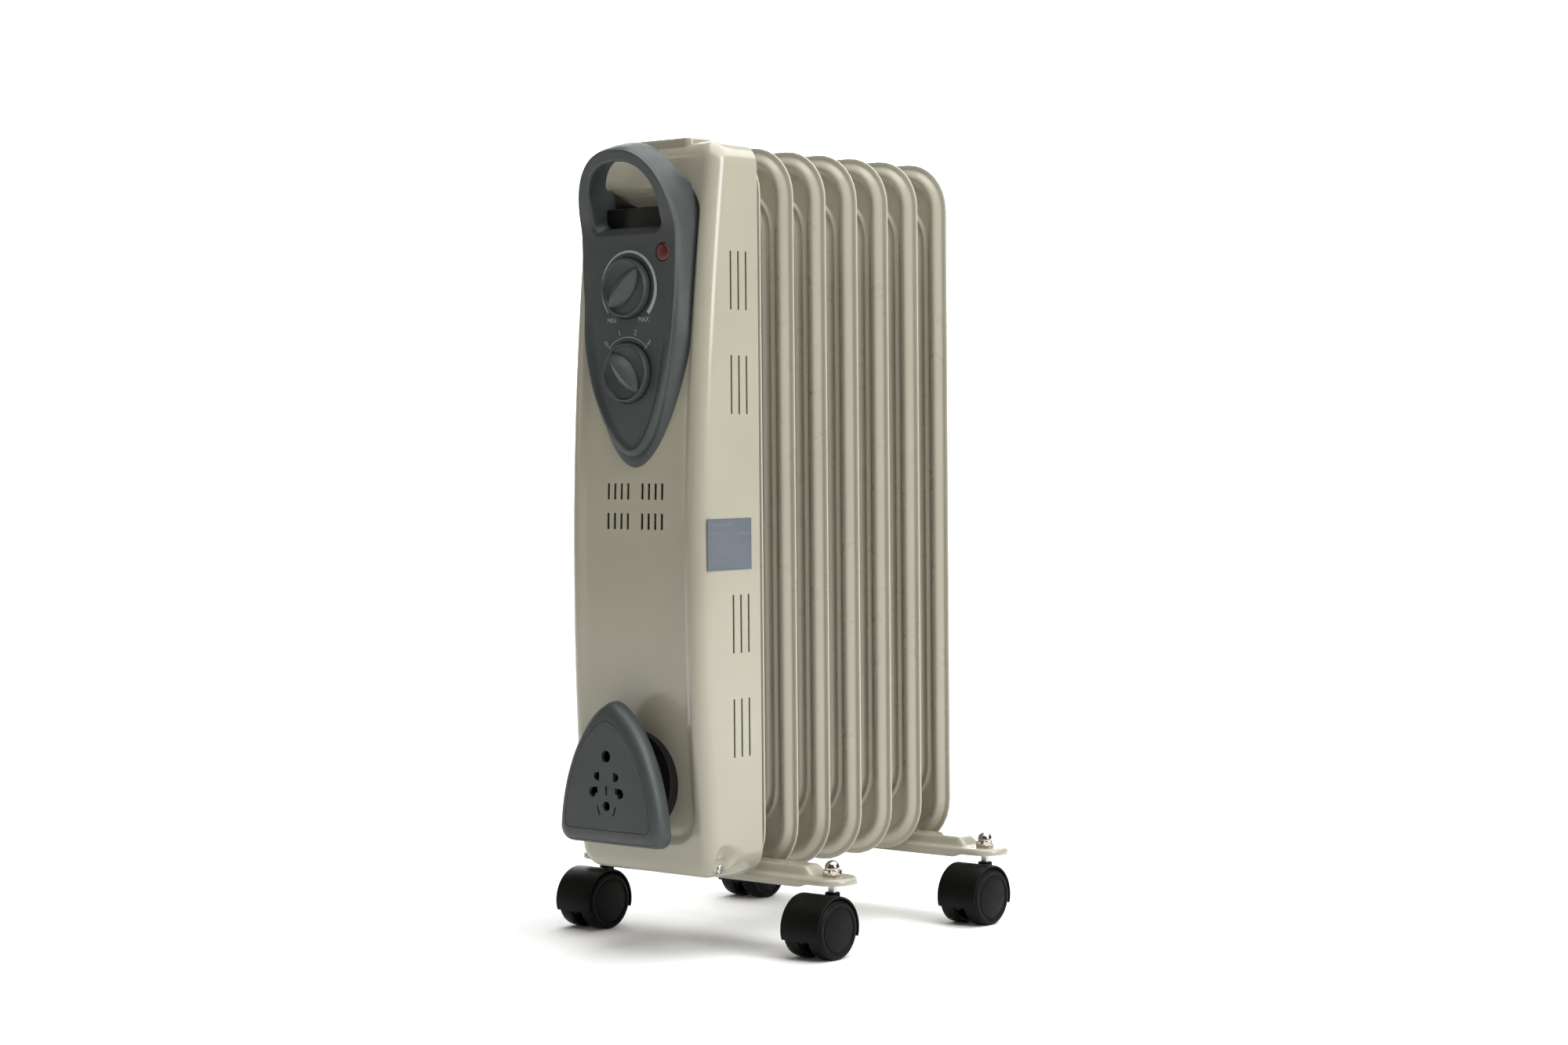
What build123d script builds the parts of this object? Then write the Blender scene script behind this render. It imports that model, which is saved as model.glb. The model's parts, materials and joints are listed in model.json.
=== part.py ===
"""Oil filled radiator heater: seven oil fins, a control casing with a carrying handle,
a cord winder, and two leg brackets on twin-wheel casters.

Millimetres. +X is the side with the rating label, -Y is the front with the controls, +Z is up.
Pieces are drawn with the first fin's mid-plane at y = 0 and the floor at z = 0, and are moved
along Y on export so that the origin is at the centre of the footprint.
"""
from build123d import *
import math
import os

os.makedirs("parts", exist_ok=True)

# ---------------------------------------------------------------- driving dimensions
# casters
WHEEL_R = 20.0
WHEEL_WIDTH = 12.0
WHEEL_INNER_X = 4.6          # half gap between the twin wheels
WHEEL_DISC = 2.2             # thickness of a wheel's outer disc
WHEEL_RIM = 3.0              # thickness of a wheel's rim
WHEEL_HUB_R = 5.2
HOOD_GAP = 0.9               # wheel tread to hood
HOOD_WALL = 1.6
HOOD_SHORT = 1.2             # the hood's sides stop this much inside the wheels' faces
HOOD_LOW_ANGLE = 16.0        # how far the hood's mouth reaches below the axle, each side
CASTER_TRAIL = 13.8
CASTER_WEB = 3.6             # thickness of the hood's centre web
SOCKET_R = 4.1               # boss in the hood that holds the stem
SOCKET_DEPTH = 17.0
COLLAR_R = 5.1
COLLAR_TOP_GAP = 4.5         # bare stem between the collar and the leg
STEM_R = 3.0
STEM_PIN_R = 2.5
STEM_SHOULDER = 1.4          # how far the stem's flange stands out
PIN_END_GAP = 0.5
SOCKET_FLOOR = 1.5
AXLE_R = 2.5
RUN_FIT = 0.05               # radial clearance of a turning fit

# legs
LEG_FLANGE = 6.8             # depth of the turned-down edge
LEG_END_FLANGE = 4.6
LEG_SHEET = 1.2
LEG_STEM_X = 104.0
LEG_EDGE_R = 3.0
RIB_HEIGHT = 6.2
RIB_WIDTH = 20.0
RIB_HALF_TOP = 86.0
RIB_SLOPE = 8.0
LEG_FIN_DROP = 1.4           # leg underside below the fins
CAP_NUT_AF = 11.8
CAP_NUT_HEX = 4.6
CAP_NUT_DOME_R = 5.2
U_BOLT_R = 2.0
U_NUT_AF = 8.0
U_NUT_HEIGHT = 4.0

# oil fins
FIN_COUNT = 7
FIN_PITCH = 35.0
FIN_WIDTH = 120.0
FIN_HEIGHT = 500.0
FIN_CORNER_R = 35.0
SHEET = 0.7
BEAD_R = 4.4
BEAD_INSET = 9.0             # fin edge to the bead's centre line
PLATEAU_HALF_W = 42.0
PLATEAU_INSET_Z = 37.0       # fin end to the plateau's end
PLATEAU_CORNER_R = 30.0
PLATEAU_HALF_T = 4.0
HEADER_INSET = 68.0          # fin end to a header's centre
BOSS_BASE_R = 29.0
BOSS_END_R = 16.0
FRONT_BOSS = 9.0             # reach of the first fin's front bosses
REAR_BOSS = 5.5              # reach of the last fin's closed bosses
ELEMENT_R = 4.0
ELEMENT_HALF_X = 6.5
ELEMENT_END_GAP = 14.0
FLANGE_T = 7.0
FLANGE_RING = 2.5            # flange spigot beyond the element's legs
FLANGE_LAND = 4.0            # hexagon beyond the spigot
TERMINAL_R = 2.0
TERMINAL_LENGTH = 9.0
FILLER_R = 6.0
FILLER_HEAD_T = 5.0
FILLER_HEAD_AF = 17.0

# control casing
CASE_HALF_W = 61.5
CASE_WALL = 0.8
CASE_BACK_Y = -4.7           # just clear of the first fin's bead
CASE_DEPTH = 59.8            # to the furthest point of the bowed front
CASE_FRONT_Y = CASE_BACK_Y - CASE_DEPTH
CASE_BOTTOM_LIFT = 6.6       # above the fins' lower edge
CASE_TOP_DROP = 1.4          # below the fins' upper edge
CASE_BOW_R = 2112.0
CASE_BOW_HEIGHT = 192.5      # furthest point above the casing's bottom
CASE_CORNER_R = 15.5         # round corners seen from the front
CASE_FRONT_R = 11.0
RECESS_MARGIN = 12.5         # casing's side to the recess
RECESS_HALF_W = CASE_HALF_W - RECESS_MARGIN
RECESS_LIFT = 23.0           # above the casing's bottom
RECESS_DROP = 29.0           # below the casing's top
RECESS_DEPTH = 1.8
RECESS_BOW_R = 1700.0
RECESS_CORNER_R = 20.0
PAD_HALF_W = 33.0
PAD_FRONT_Y = CASE_BACK_Y - 35.3
PAD_BACK_Y = CASE_BACK_Y - 10.3
PAD_HEIGHT = 3.4
PAD_CORNER_R = 5.0
SLOT_W = 1.6
SLOT_LENGTH = 39.5
SIDE_SLOTS_FROM_BACK = (27.8, 20.05, 12.3)
SIDE_SLOTS_FROM_TOP = (93.0, 162.5)
SIDE_SLOTS_FROM_BOTTOM = (100.0, 169.8)
FRONT_SLOT_W = 2.2
FRONT_SLOT_LENGTH = 11.0
FRONT_SLOT_X = (6.5, 12.45, 18.4, 24.35)
FRONT_SLOTS_FROM_BOTTOM = (238.5, 258.6)
BACK_PLATE_T = 0.8
PLATE_GAP = 0.3
FOOT_GAP = 1.5               # back plate's foot above the casing's floor
HEADER_HOLE_GAP = 1.5
SCREW_LUG_HALF = 4.0
LUG_T = 2.0
CASE_SCREW_R = 1.6
SCREW_HEAD_R = 3.3
SCREW_HEAD_T = 1.8
SCREW_Y = CASE_BACK_Y - 39.3
SCREW_LIFT = 6.6
SCREW_SEAT_INSET = 4.3       # flat seat, in from the casing's side
SCOOP_MARGIN = 5.0
SCOOP_DEPTH = 10.0
LABEL_SIZE = (44.5, 34.5)
LABEL_Y = CASE_BACK_Y - 31.3
LABEL_LIFT = 223.3
LABEL_T = 0.25

# control panel and handle, with heights measured down from the casing's top
PANEL_WALL = 2.6
PANEL_SKIRT = 4.3            # how much wider the panel's foot is than its face
PANEL_GAP = 2.0              # panel's foot to the recess's side
PANEL_HALF_W = RECESS_HALF_W - PANEL_GAP - PANEL_SKIRT
PANEL_SKIRT_DROP = 10.0
PANEL_BEND_DROP = 58.5
PANEL_SHOULDER_DROP = 62.5
PANEL_BELLY_DROP = 127.5
PANEL_TIP_DROP = 208.0
PANEL_TOP_DROP = 5.5
PANEL_FACE_RISE = 1.9        # in front of the casing's furthest point
PANEL_FACE_Y = CASE_FRONT_Y - PANEL_FACE_RISE
PANEL_BULGE = 2.8            # how far the lower face swells forward
PANEL_FLAT_FROM = 0.68       # share of the face, from the chin, where it turns flat
HANDLE_LEAN = 17.0
HANDLE_THICK = 20.0
HANDLE_NOTCH_DROP = 34.5
GRIP_RAIL = 12.7             # handle's width beside the finger opening
GRIP_HALF_W = PANEL_HALF_W - GRIP_RAIL
GRIP_ARCH_SHARE = 0.55       # how much of the opening's height is its arch
GRIP_BOTTOM_DROP = 59.5
GRIP_TOP_DROP = 14.5
GRIP_CORNER_R = 6.0
LEDGE_DROP = 42.5
LEDGE_Y = (CASE_FRONT_Y + 10.5, CASE_FRONT_Y + 16.5)

KNOB_R = 20.0
KNOB_EDGE_R = 1.6
KNOB_RIM_Y = PANEL_FACE_Y - 5.6
KNOB_GRIP_Y = PANEL_FACE_Y - 11.1
KNOB_BACK_Y = PANEL_FACE_Y + 0.3
KNOB_POCKET_Y = PANEL_FACE_Y + 0.8
KNOB_POCKET_GAP = 1.2
KNOB_GRIP_W = 11.0
KNOB_GRIP_MARGIN = 2.0       # finger bar's ends to the knob's edge
THERMOSTAT_GRIP = 45.0       # finger bar's angle at rest
SELECTOR_GRIP = 133.0
POCKET_WALL = 1.6            # panel left behind a knob's pocket
POCKET_RING = 1.5            # panel left round a knob's pocket
THERMOSTAT_DROP = 97.1
SELECTOR_DROP = 153.7
SPINDLE_R = 3.0
SPINDLE_FLAT = 0.8
SPINDLE_HOLE_GAP = 1.0
CONTROL_SIZE = (32.0, 30.0)
CONTROL_CORNER_R = 3.0
CONTROL_Y = (PANEL_FACE_Y + 5.9, PANEL_FACE_Y + 26.4)
BUSH_WALL = 2.0
BUSH_R = SPINDLE_R + BUSH_WALL
TAG_LENGTH = 8.0
TAG_WIDTH = 4.8
TAG_T = 0.8
TAG_PITCH = 9.0
LAMP_R = 6.1
LAMP_STEM_R = 5.0
LAMP_RISE = 1.6
LAMP_MARGIN = 11.3           # lamp's centre to the panel's edge
LAMP_X = PANEL_HALF_W - LAMP_MARGIN
LAMP_DROP = 74.3
POST_R = 3.8
POST_MARGIN = 10.7           # upper posts' centres to the panel's edge
POST_X = PANEL_HALF_W - POST_MARGIN
POST_PLACES = ((-POST_X, 106.5), (POST_X, 106.5), (0.0, 192.0))
PANEL_SCREW_R = 1.5
PANEL_SCREW_GAP = 0.4
PANEL_SCREW_REACH = 7.0
PANEL_SCREW_SEAT = 0.6       # washer thickness behind the casing's sheet
PANEL_SCREW_HEAD_T = 2.0
WINDOW_HALF_W = 22.0
WINDOW_MARGIN = 6.0

# cord winder, with heights measured up from the casing's bottom
REEL_STANDOFF = 28.3         # in front of the casing's furthest point
REEL_FRONT_Y = CASE_FRONT_Y - REEL_STANDOFF
REEL_DEPTH = 12.8
REEL_WALL = 2.4
REEL_HALF_W = 47.0
REEL_LIFT = 22.8
REEL_HEIGHT = 96.2
REEL_CORNER_R = 6.0
REEL_EDGE_R = 4.5            # roundness of the plate's front edge
REEL_HUB_LIFT = 64.5
REEL_HUB_R = 26.0
REEL_FLANGE_R = 33.0
REEL_FLANGE_Y = CASE_FRONT_Y - 1.0
GLAND_MARGIN = 8.0           # gland's centre to the recess's side
GLAND_X = GLAND_MARGIN - RECESS_HALF_W
GLAND_LIFT = 42.0
GLAND_R = 5.0
GLAND_NECK_R = 3.5
GLAND_WALL = 1.2

# electrics inside the casing
CUTOUT_R = 8.0
CUTOUT_T = 9.0
CUTOUT_RISE = 60.0           # above the fins' middle
BLOCK_SIZE = (36.0, 14.0, 12.0)
BLOCK_LIFT = 130.0
BLOCK_WAY_PITCH = 11.0
BLOCK_WELL_R = 2.6
EARTH_X = -44.0
EARTH_LIFT = 60.0
EARTH_R = 4.5
EARTH_T = 1.0
EARTH_NUT_AF = 7.0
EARTH_NUT_T = 3.0
WIRE_R = 1.2
WIRE_BEND_R = 4.0

# ---------------------------------------------------------------- derived levels
AXLE_Z = WHEEL_R
HOOD_R = WHEEL_R + HOOD_GAP + HOOD_WALL
HOOD_TOP_Z = AXLE_Z + math.sqrt(HOOD_R ** 2 - (CASTER_TRAIL - COLLAR_R) ** 2)
COLLAR_TOP_Z = HOOD_TOP_Z + 1.2
LEG_BOTTOM_Z = COLLAR_TOP_Z + COLLAR_TOP_GAP
LEG_TOP_Z = LEG_BOTTOM_Z + LEG_FLANGE
RIB_TOP_Z = LEG_TOP_Z + RIB_HEIGHT
SOCKET_BOTTOM_Z = COLLAR_TOP_Z - SOCKET_DEPTH
HOOD_HALF_W = WHEEL_INNER_X + WHEEL_WIDTH - HOOD_SHORT
AXLE_HALF = WHEEL_INNER_X + WHEEL_WIDTH - WHEEL_DISC - 0.6
U_CENTRE_R = BOSS_END_R + U_BOLT_R * 1.46 + 0.1
FLANGE_SPIGOT_R = ELEMENT_HALF_X + ELEMENT_R + FLANGE_RING
FLANGE_Y = -FRONT_BOSS - FLANGE_T
FIN_BOTTOM_Z = LEG_BOTTOM_Z + LEG_FIN_DROP
FIN_TOP_Z = FIN_BOTTOM_Z + FIN_HEIGHT
FIN_MID_Z = (FIN_BOTTOM_Z + FIN_TOP_Z) / 2
LOW_HEADER_Z = FIN_BOTTOM_Z + HEADER_INSET
HIGH_HEADER_Z = FIN_TOP_Z - HEADER_INSET
STACK_Y = FIN_PITCH * (FIN_COUNT - 1)
LEG_HALF_W = FIN_PITCH / 2 - SHEET
FRONT_LEG_Y = FIN_PITCH / 2
REAR_LEG_Y = STACK_Y - FIN_PITCH / 2
CASE_Z0 = FIN_BOTTOM_Z + CASE_BOTTOM_LIFT
CASE_Z1 = FIN_TOP_Z - CASE_TOP_DROP
BOW_Z = CASE_Z0 + CASE_BOW_HEIGHT
THERMOSTAT_Z = CASE_Z1 - THERMOSTAT_DROP
SELECTOR_Z = CASE_Z1 - SELECTOR_DROP
LAMP_Z = CASE_Z1 - LAMP_DROP
REEL_Z0 = CASE_Z0 + REEL_LIFT
HUB_Z = CASE_Z0 + REEL_HUB_LIFT
FOOTPRINT_MID_Y = (REEL_FRONT_Y + STACK_Y + REAR_BOSS) / 2


# ---------------------------------------------------------------- helpers
def save(node, shape):
    """Write one sub-part, moved so that the origin is at the footprint's centre."""
    moved = Pos(0, -FOOTPRINT_MID_Y, 0) * shape
    export_step(moved, f"parts/{node}.step")


def slab_y(sketch, front, back):
    """A flat drawing in X and Z, made solid between two depths."""
    plane = Plane(origin=(0, back, 0), x_dir=(1, 0, 0), z_dir=(0, -1, 0))
    return extrude(plane * sketch, amount=back - front)


def slab_x(sketch, left, right):
    """A flat drawing in Y and Z, made solid between two widths."""
    plane = Plane(origin=(left, 0, 0), x_dir=(0, 1, 0), z_dir=(1, 0, 0))
    return extrude(plane * sketch, amount=right - left)


def slab_z(sketch, low, high):
    """A flat drawing in X and Y, made solid between two heights."""
    return extrude(Plane(origin=(0, 0, low)) * sketch, amount=high - low)


def rod_y(x, z, radius, front, back):
    return slab_y(Pos(x, z) * Circle(radius), front, back)


def rod_x(y, z, radius, left, right):
    return slab_x(Pos(y, z) * Circle(radius), left, right)


def rod_z(x, y, radius, low, high):
    return slab_z(Pos(x, y) * Circle(radius), low, high)


def block(x0, x1, y0, y1, z0, z1):
    return Pos((x0 + x1) / 2, (y0 + y1) / 2, (z0 + z1) / 2) * Box(x1 - x0, y1 - y0, z1 - z0)


def cone_y(z, r_front, r_back, front, back):
    """A cone on the header's centre line, between two depths."""
    height = back - front
    return Pos(0, (front + back) / 2, z) * Rot(-90, 0, 0) * Cone(r_front, r_back, height)


def hexagon(across_flats):
    return RegularPolygon(across_flats / math.sqrt(3), 6)


# ---------------------------------------------------------------- oil fins
def fin_outline(inset_x, inset_z, corner):
    width = FIN_WIDTH - 2 * inset_x
    height = FIN_HEIGHT - 2 * inset_z
    return Pos(0, FIN_MID_Z) * RectangleRounded(width, height, corner)


def fin_bead(radius):
    """The round channel pressed all the way round the fin."""
    outline = fin_outline(BEAD_INSET, BEAD_INSET, FIN_CORNER_R - BEAD_INSET)
    path = (Plane.XZ * outline).faces()[0].outer_wire()
    start = path @ 0
    section = Plane(origin=start, z_dir=path % 0) * Circle(radius)
    return sweep(section, path=path)


def fin_plateau(inset):
    half_t = PLATEAU_HALF_T - inset
    corner = PLATEAU_CORNER_R - inset
    inset_x = FIN_WIDTH / 2 - PLATEAU_HALF_W + inset
    raised = slab_y(fin_outline(inset_x, PLATEAU_INSET_Z + inset, corner), -half_t, half_t)
    rims = raised.edges().filter_by(lambda e: abs(abs(e.center().Y) - half_t) < 1e-6)
    return fillet(rims, half_t * 0.8)


def fin_bosses(inset, front_reach, back_reach, front_open, back_open):
    """The coned bosses that join the fins at the two headers."""
    bosses = []
    taper = (BOSS_BASE_R - BOSS_END_R) / (FIN_PITCH / 2 - PLATEAU_HALF_T)
    for header_z in (LOW_HEADER_Z, HIGH_HEADER_Z):
        for side, reach, is_open in ((-1, front_reach, front_open), (1, back_reach, back_open)):
            end = reach if is_open or inset == 0 else reach - inset
            base_r = BOSS_BASE_R - inset + PLATEAU_HALF_T * taper
            end_r = base_r - end * taper
            if side < 0:
                bosses.append(cone_y(header_z, end_r, base_r, -end, 0))
            else:
                bosses.append(cone_y(header_z, base_r, end_r, 0, end))
    return bosses


def make_fin(front_reach, back_reach, front_open, back_open):
    """Two pressed sheets, welded at the rim, with the oil space between them."""
    limits = (front_reach, back_reach, front_open, back_open)
    skin = slab_y(fin_outline(0, 0, FIN_CORNER_R), -SHEET, SHEET)
    skin = skin + fin_bead(BEAD_R) + fin_plateau(0)
    oil = fin_bead(BEAD_R - SHEET) + fin_plateau(SHEET)
    for boss in fin_bosses(0, *limits):
        skin = skin + boss
    for boss in fin_bosses(SHEET, *limits):
        oil = oil + boss
    return skin - oil


half_pitch = FIN_PITCH / 2
middle_fin = make_fin(half_pitch, half_pitch, True, True)
first_fin = make_fin(FRONT_BOSS, half_pitch, False, True)
last_fin = make_fin(half_pitch, REAR_BOSS, True, False)
first_fin = first_fin - rod_y(0, LOW_HEADER_Z, FLANGE_SPIGOT_R, -FRONT_BOSS - 1, -FRONT_BOSS + 2)
first_fin = first_fin - rod_y(0, HIGH_HEADER_Z, FILLER_R, -FRONT_BOSS - 1, -FRONT_BOSS + 2)

for fin in range(FIN_COUNT):
    shape = middle_fin
    if fin == 0:
        shape = first_fin
    if fin == FIN_COUNT - 1:
        shape = last_fin
    save(f"fin_{fin + 1}", Pos(0, fin * FIN_PITCH, 0) * shape)


# ---------------------------------------------------------------- heating element and plugs
element_end = STACK_Y - ELEMENT_END_GAP - ELEMENT_HALF_X
runs = Polyline(
    (-ELEMENT_HALF_X, FLANGE_Y, LOW_HEADER_Z),
    (-ELEMENT_HALF_X, element_end, LOW_HEADER_Z),
)
bend = ThreePointArc(
    (-ELEMENT_HALF_X, element_end, LOW_HEADER_Z),
    (0, element_end + ELEMENT_HALF_X, LOW_HEADER_Z),
    (ELEMENT_HALF_X, element_end, LOW_HEADER_Z),
)
back_run = Line(
    (ELEMENT_HALF_X, element_end, LOW_HEADER_Z),
    (ELEMENT_HALF_X, FLANGE_Y, LOW_HEADER_Z),
)
element_path = Wire([runs.edges()[0], bend.edges()[0], back_run.edges()[0]])
element_section = Plane(origin=element_path @ 0, z_dir=element_path % 0) * Circle(ELEMENT_R)
element = sweep(element_section, path=element_path)
for side in (-1, 1):
    x = side * ELEMENT_HALF_X
    element = element + rod_y(x, LOW_HEADER_Z, TERMINAL_R, FLANGE_Y - TERMINAL_LENGTH, FLANGE_Y)
save("heating_element", element)

flange_af = 2 * (FLANGE_SPIGOT_R + FLANGE_LAND)
flange = slab_y(Pos(0, LOW_HEADER_Z) * hexagon(flange_af), FLANGE_Y, -FRONT_BOSS)
flange = flange + rod_y(0, LOW_HEADER_Z, FLANGE_SPIGOT_R, -FRONT_BOSS - 1, -FRONT_BOSS + SHEET + 1)
for side in (-1, 1):
    x = side * ELEMENT_HALF_X
    flange = flange - rod_y(x, LOW_HEADER_Z, ELEMENT_R, FLANGE_Y - 1, -FRONT_BOSS + 3)
save("element_flange", flange)

filler = slab_y(Pos(0, HIGH_HEADER_Z) * hexagon(FILLER_HEAD_AF), -FRONT_BOSS - FILLER_HEAD_T, -FRONT_BOSS)
filler = filler + rod_y(0, HIGH_HEADER_Z, FILLER_R, -FRONT_BOSS - 1, -FRONT_BOSS + SHEET + 2)
save("oil_filler_plug", filler)


# ---------------------------------------------------------------- control casing
def bowed_y(z, furthest_y, radius):
    """Depth of a bowed front at height z."""
    return furthest_y + radius - math.sqrt(radius ** 2 - (z - BOW_Z) ** 2)


def recess_floor_y(z):
    return bowed_y(z, CASE_FRONT_Y + RECESS_DEPTH, RECESS_BOW_R)


def bowed_edge(low, high, furthest_y, radius):
    middle = (low + high) / 2
    points = [(bowed_y(z, furthest_y, radius), z) for z in (low, middle, high)]
    return ThreePointArc(*points)


def case_block(inset):
    """The casing's solid form, drawn inwards by inset all round."""
    over = 10
    low = CASE_Z0 + inset
    high = CASE_Z1 - inset
    half_w = CASE_HALF_W - inset
    back = CASE_BACK_Y + (1 if inset else 0)
    front = bowed_edge(low - over, high + over, CASE_FRONT_Y + inset, CASE_BOW_R)
    rest = Polyline(front @ 1, (back, high + over), (back, low - over), front @ 0)
    bowed = slab_x(make_face([front, *rest.edges()]), -half_w - over, half_w + over)
    outline = Pos(0, (low + high) / 2) * RectangleRounded(
        2 * half_w, high - low, CASE_CORNER_R - inset
    )
    form = bowed & slab_y(outline, REEL_FRONT_Y, back)
    front_face = form.faces().sort_by(Axis.Y)[0]
    form = fillet(front_face.edges(), CASE_FRONT_R - inset)
    pad = slab_z(
        Pos(0, (PAD_FRONT_Y + PAD_BACK_Y) / 2)
        * RectangleRounded(
            2 * (PAD_HALF_W - inset), PAD_BACK_Y - PAD_FRONT_Y - 2 * inset, PAD_CORNER_R - inset
        ),
        high - PAD_HEIGHT,
        high + PAD_HEIGHT,
    )
    return form + pad


def recess_block(grow):
    """The space in front of the casing's pressed-in front face."""
    low = CASE_Z0 + RECESS_LIFT - grow
    high = CASE_Z1 - RECESS_DROP + grow
    over = 10
    out_y = CASE_FRONT_Y - over
    floor = bowed_edge(low - over, high + over, CASE_FRONT_Y + RECESS_DEPTH + grow, RECESS_BOW_R)
    sides = Polyline(floor @ 1, (out_y, high + over), (out_y, low - over), floor @ 0)
    profile = make_face([floor, *sides.edges()])
    half_w = RECESS_HALF_W + grow
    pocket = slab_x(profile, -half_w - over, half_w + over)
    outline = Pos(0, (low + high) / 2) * RectangleRounded(
        2 * half_w, high - low, RECESS_CORNER_R + grow
    )
    return pocket & slab_y(outline, out_y + 1, 0)


case_form = case_block(0) - recess_block(0)
case_space = case_block(CASE_WALL) - recess_block(CASE_WALL)
shell = case_form - case_space

side_slot_z = [CASE_Z1 - drop for drop in SIDE_SLOTS_FROM_TOP]
side_slot_z = side_slot_z + [CASE_Z0 + lift for lift in SIDE_SLOTS_FROM_BOTTOM]
for z in side_slot_z:
    for back in SIDE_SLOTS_FROM_BACK:
        slot = Pos(CASE_BACK_Y - back, z) * SlotOverall(SLOT_LENGTH, SLOT_W, rotation=90)
        shell = shell - slab_x(slot, -CASE_HALF_W - 1, CASE_HALF_W + 1)

for lift in FRONT_SLOTS_FROM_BOTTOM:
    z = CASE_Z0 + lift
    floor_y = recess_floor_y(z)
    for slot_x in FRONT_SLOT_X:
        for x in (-slot_x, slot_x):
            slot = Pos(x, z) * Rectangle(FRONT_SLOT_W, FRONT_SLOT_LENGTH)
            shell = shell - slab_y(slot, floor_y - 2, floor_y + 3)

window_low = SELECTOR_Z - CONTROL_SIZE[1] / 2 - WINDOW_MARGIN
window_high = THERMOSTAT_Z + CONTROL_SIZE[1] / 2 + WINDOW_MARGIN
shell = shell - block(
    -WINDOW_HALF_W, WINDOW_HALF_W, CASE_FRONT_Y, CASE_BACK_Y - 20, window_low, window_high
)

post_places = [(x, CASE_Z1 - drop) for x, drop in POST_PLACES]
for x, z in post_places:
    hole_r = PANEL_SCREW_R + PANEL_SCREW_GAP
    shell = shell - rod_y(x, z, hole_r, CASE_FRONT_Y, CASE_BACK_Y - 20)

screw_z = CASE_Z0 + SCREW_LIFT
screw_seat_x = CASE_HALF_W - SCREW_SEAT_INSET
scoop_w = 2 * SCREW_HEAD_R + SCOOP_MARGIN
for side in (-1, 1):
    scoop_x = side * (screw_seat_x + SCOOP_DEPTH / 2)
    backing_x = side * (screw_seat_x + SCOOP_DEPTH / 2 - CASE_WALL)
    scoop = Pos(scoop_x, SCREW_Y, screw_z) * Box(SCOOP_DEPTH, scoop_w, scoop_w)
    backing = Pos(backing_x, SCREW_Y, screw_z) * Box(
        SCOOP_DEPTH, scoop_w + 2 * CASE_WALL, scoop_w + 2 * CASE_WALL
    )
    shell = shell + (backing & case_block(0)) - scoop
shell = shell - rod_x(SCREW_Y, screw_z, CASE_SCREW_R, -CASE_HALF_W - 1, CASE_HALF_W + 1)

gland_z = CASE_Z0 + GLAND_LIFT
shell = shell - rod_y(GLAND_X, gland_z, GLAND_NECK_R, CASE_FRONT_Y, CASE_BACK_Y - 30)
save("casing_shell", shell)

# Chassis: the back plate closes the casing, and its foot carries the side screws.
plate_back = CASE_BACK_Y - PLATE_GAP
plate_front = plate_back - BACK_PLATE_T
plate_inset = CASE_WALL + PLATE_GAP
plate_outline = Pos(0, (CASE_Z0 + CASE_Z1) / 2) * RectangleRounded(
    2 * (CASE_HALF_W - plate_inset), CASE_Z1 - CASE_Z0 - 2 * plate_inset, CASE_CORNER_R - plate_inset
)
back_plate = slab_y(plate_outline, plate_front, plate_back)
header_hole_r = BOSS_BASE_R + HEADER_HOLE_GAP
for header_z in (LOW_HEADER_Z, HIGH_HEADER_Z):
    back_plate = back_plate - rod_y(0, header_z, header_hole_r, plate_front - 1, plate_back + 1)
foot_front = SCREW_Y - SCREW_LUG_HALF
foot_low = CASE_Z0 + CASE_WALL + FOOT_GAP
foot_half_w = CASE_HALF_W - CASE_CORNER_R
back_plate = back_plate + block(
    -foot_half_w, foot_half_w, foot_front, plate_front, foot_low, foot_low + BACK_PLATE_T
)
lug_high = screw_z + SCREW_LUG_HALF
for side in (-1, 1):
    lug_x = side * (foot_half_w - LUG_T / 2)
    lug = Pos(lug_x, SCREW_Y, (foot_low + lug_high) / 2) * Box(
        LUG_T, 2 * SCREW_LUG_HALF, lug_high - foot_low
    )
    back_plate = back_plate + lug
back_plate = back_plate - rod_x(SCREW_Y, screw_z, CASE_SCREW_R, -CASE_HALF_W, CASE_HALF_W)
save("casing_back_plate", back_plate)

case_screws = []
for side in (-1, 1):
    head = rod_x(SCREW_Y, screw_z, SCREW_HEAD_R, screw_seat_x, screw_seat_x + SCREW_HEAD_T)
    head = fillet(head.edges().group_by(Axis.X)[-1], 1.2)
    slot_x = screw_seat_x + SCREW_HEAD_T
    for turn in (0, 90):
        cross = Pos(slot_x, SCREW_Y, screw_z) * Rot(turn, 0, 0) * Box(2.0, 0.8, 3.6)
        head = head - cross
    screw = head + rod_x(SCREW_Y, screw_z, CASE_SCREW_R, foot_half_w - LUG_T - 3, screw_seat_x)
    case_screws.append(screw if side > 0 else Rot(0, 0, 180) * Pos(0, -2 * SCREW_Y, 0) * screw)
save("casing_screws", Compound(children=case_screws))

label_z = CASE_Z0 + LABEL_LIFT
label = slab_x(Pos(LABEL_Y, label_z) * Rectangle(*LABEL_SIZE), CASE_HALF_W, CASE_HALF_W + LABEL_T)
save("rating_label", label)


# ---------------------------------------------------------------- control panel and handle
face_top_z = CASE_Z1 - PANEL_TOP_DROP
shoulder_z = CASE_Z1 - PANEL_SHOULDER_DROP
belly_z = CASE_Z1 - PANEL_BELLY_DROP
bend_z = CASE_Z1 - PANEL_BEND_DROP
tip_z = CASE_Z1 - PANEL_TIP_DROP
lean = math.tan(math.radians(HANDLE_LEAN))


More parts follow.
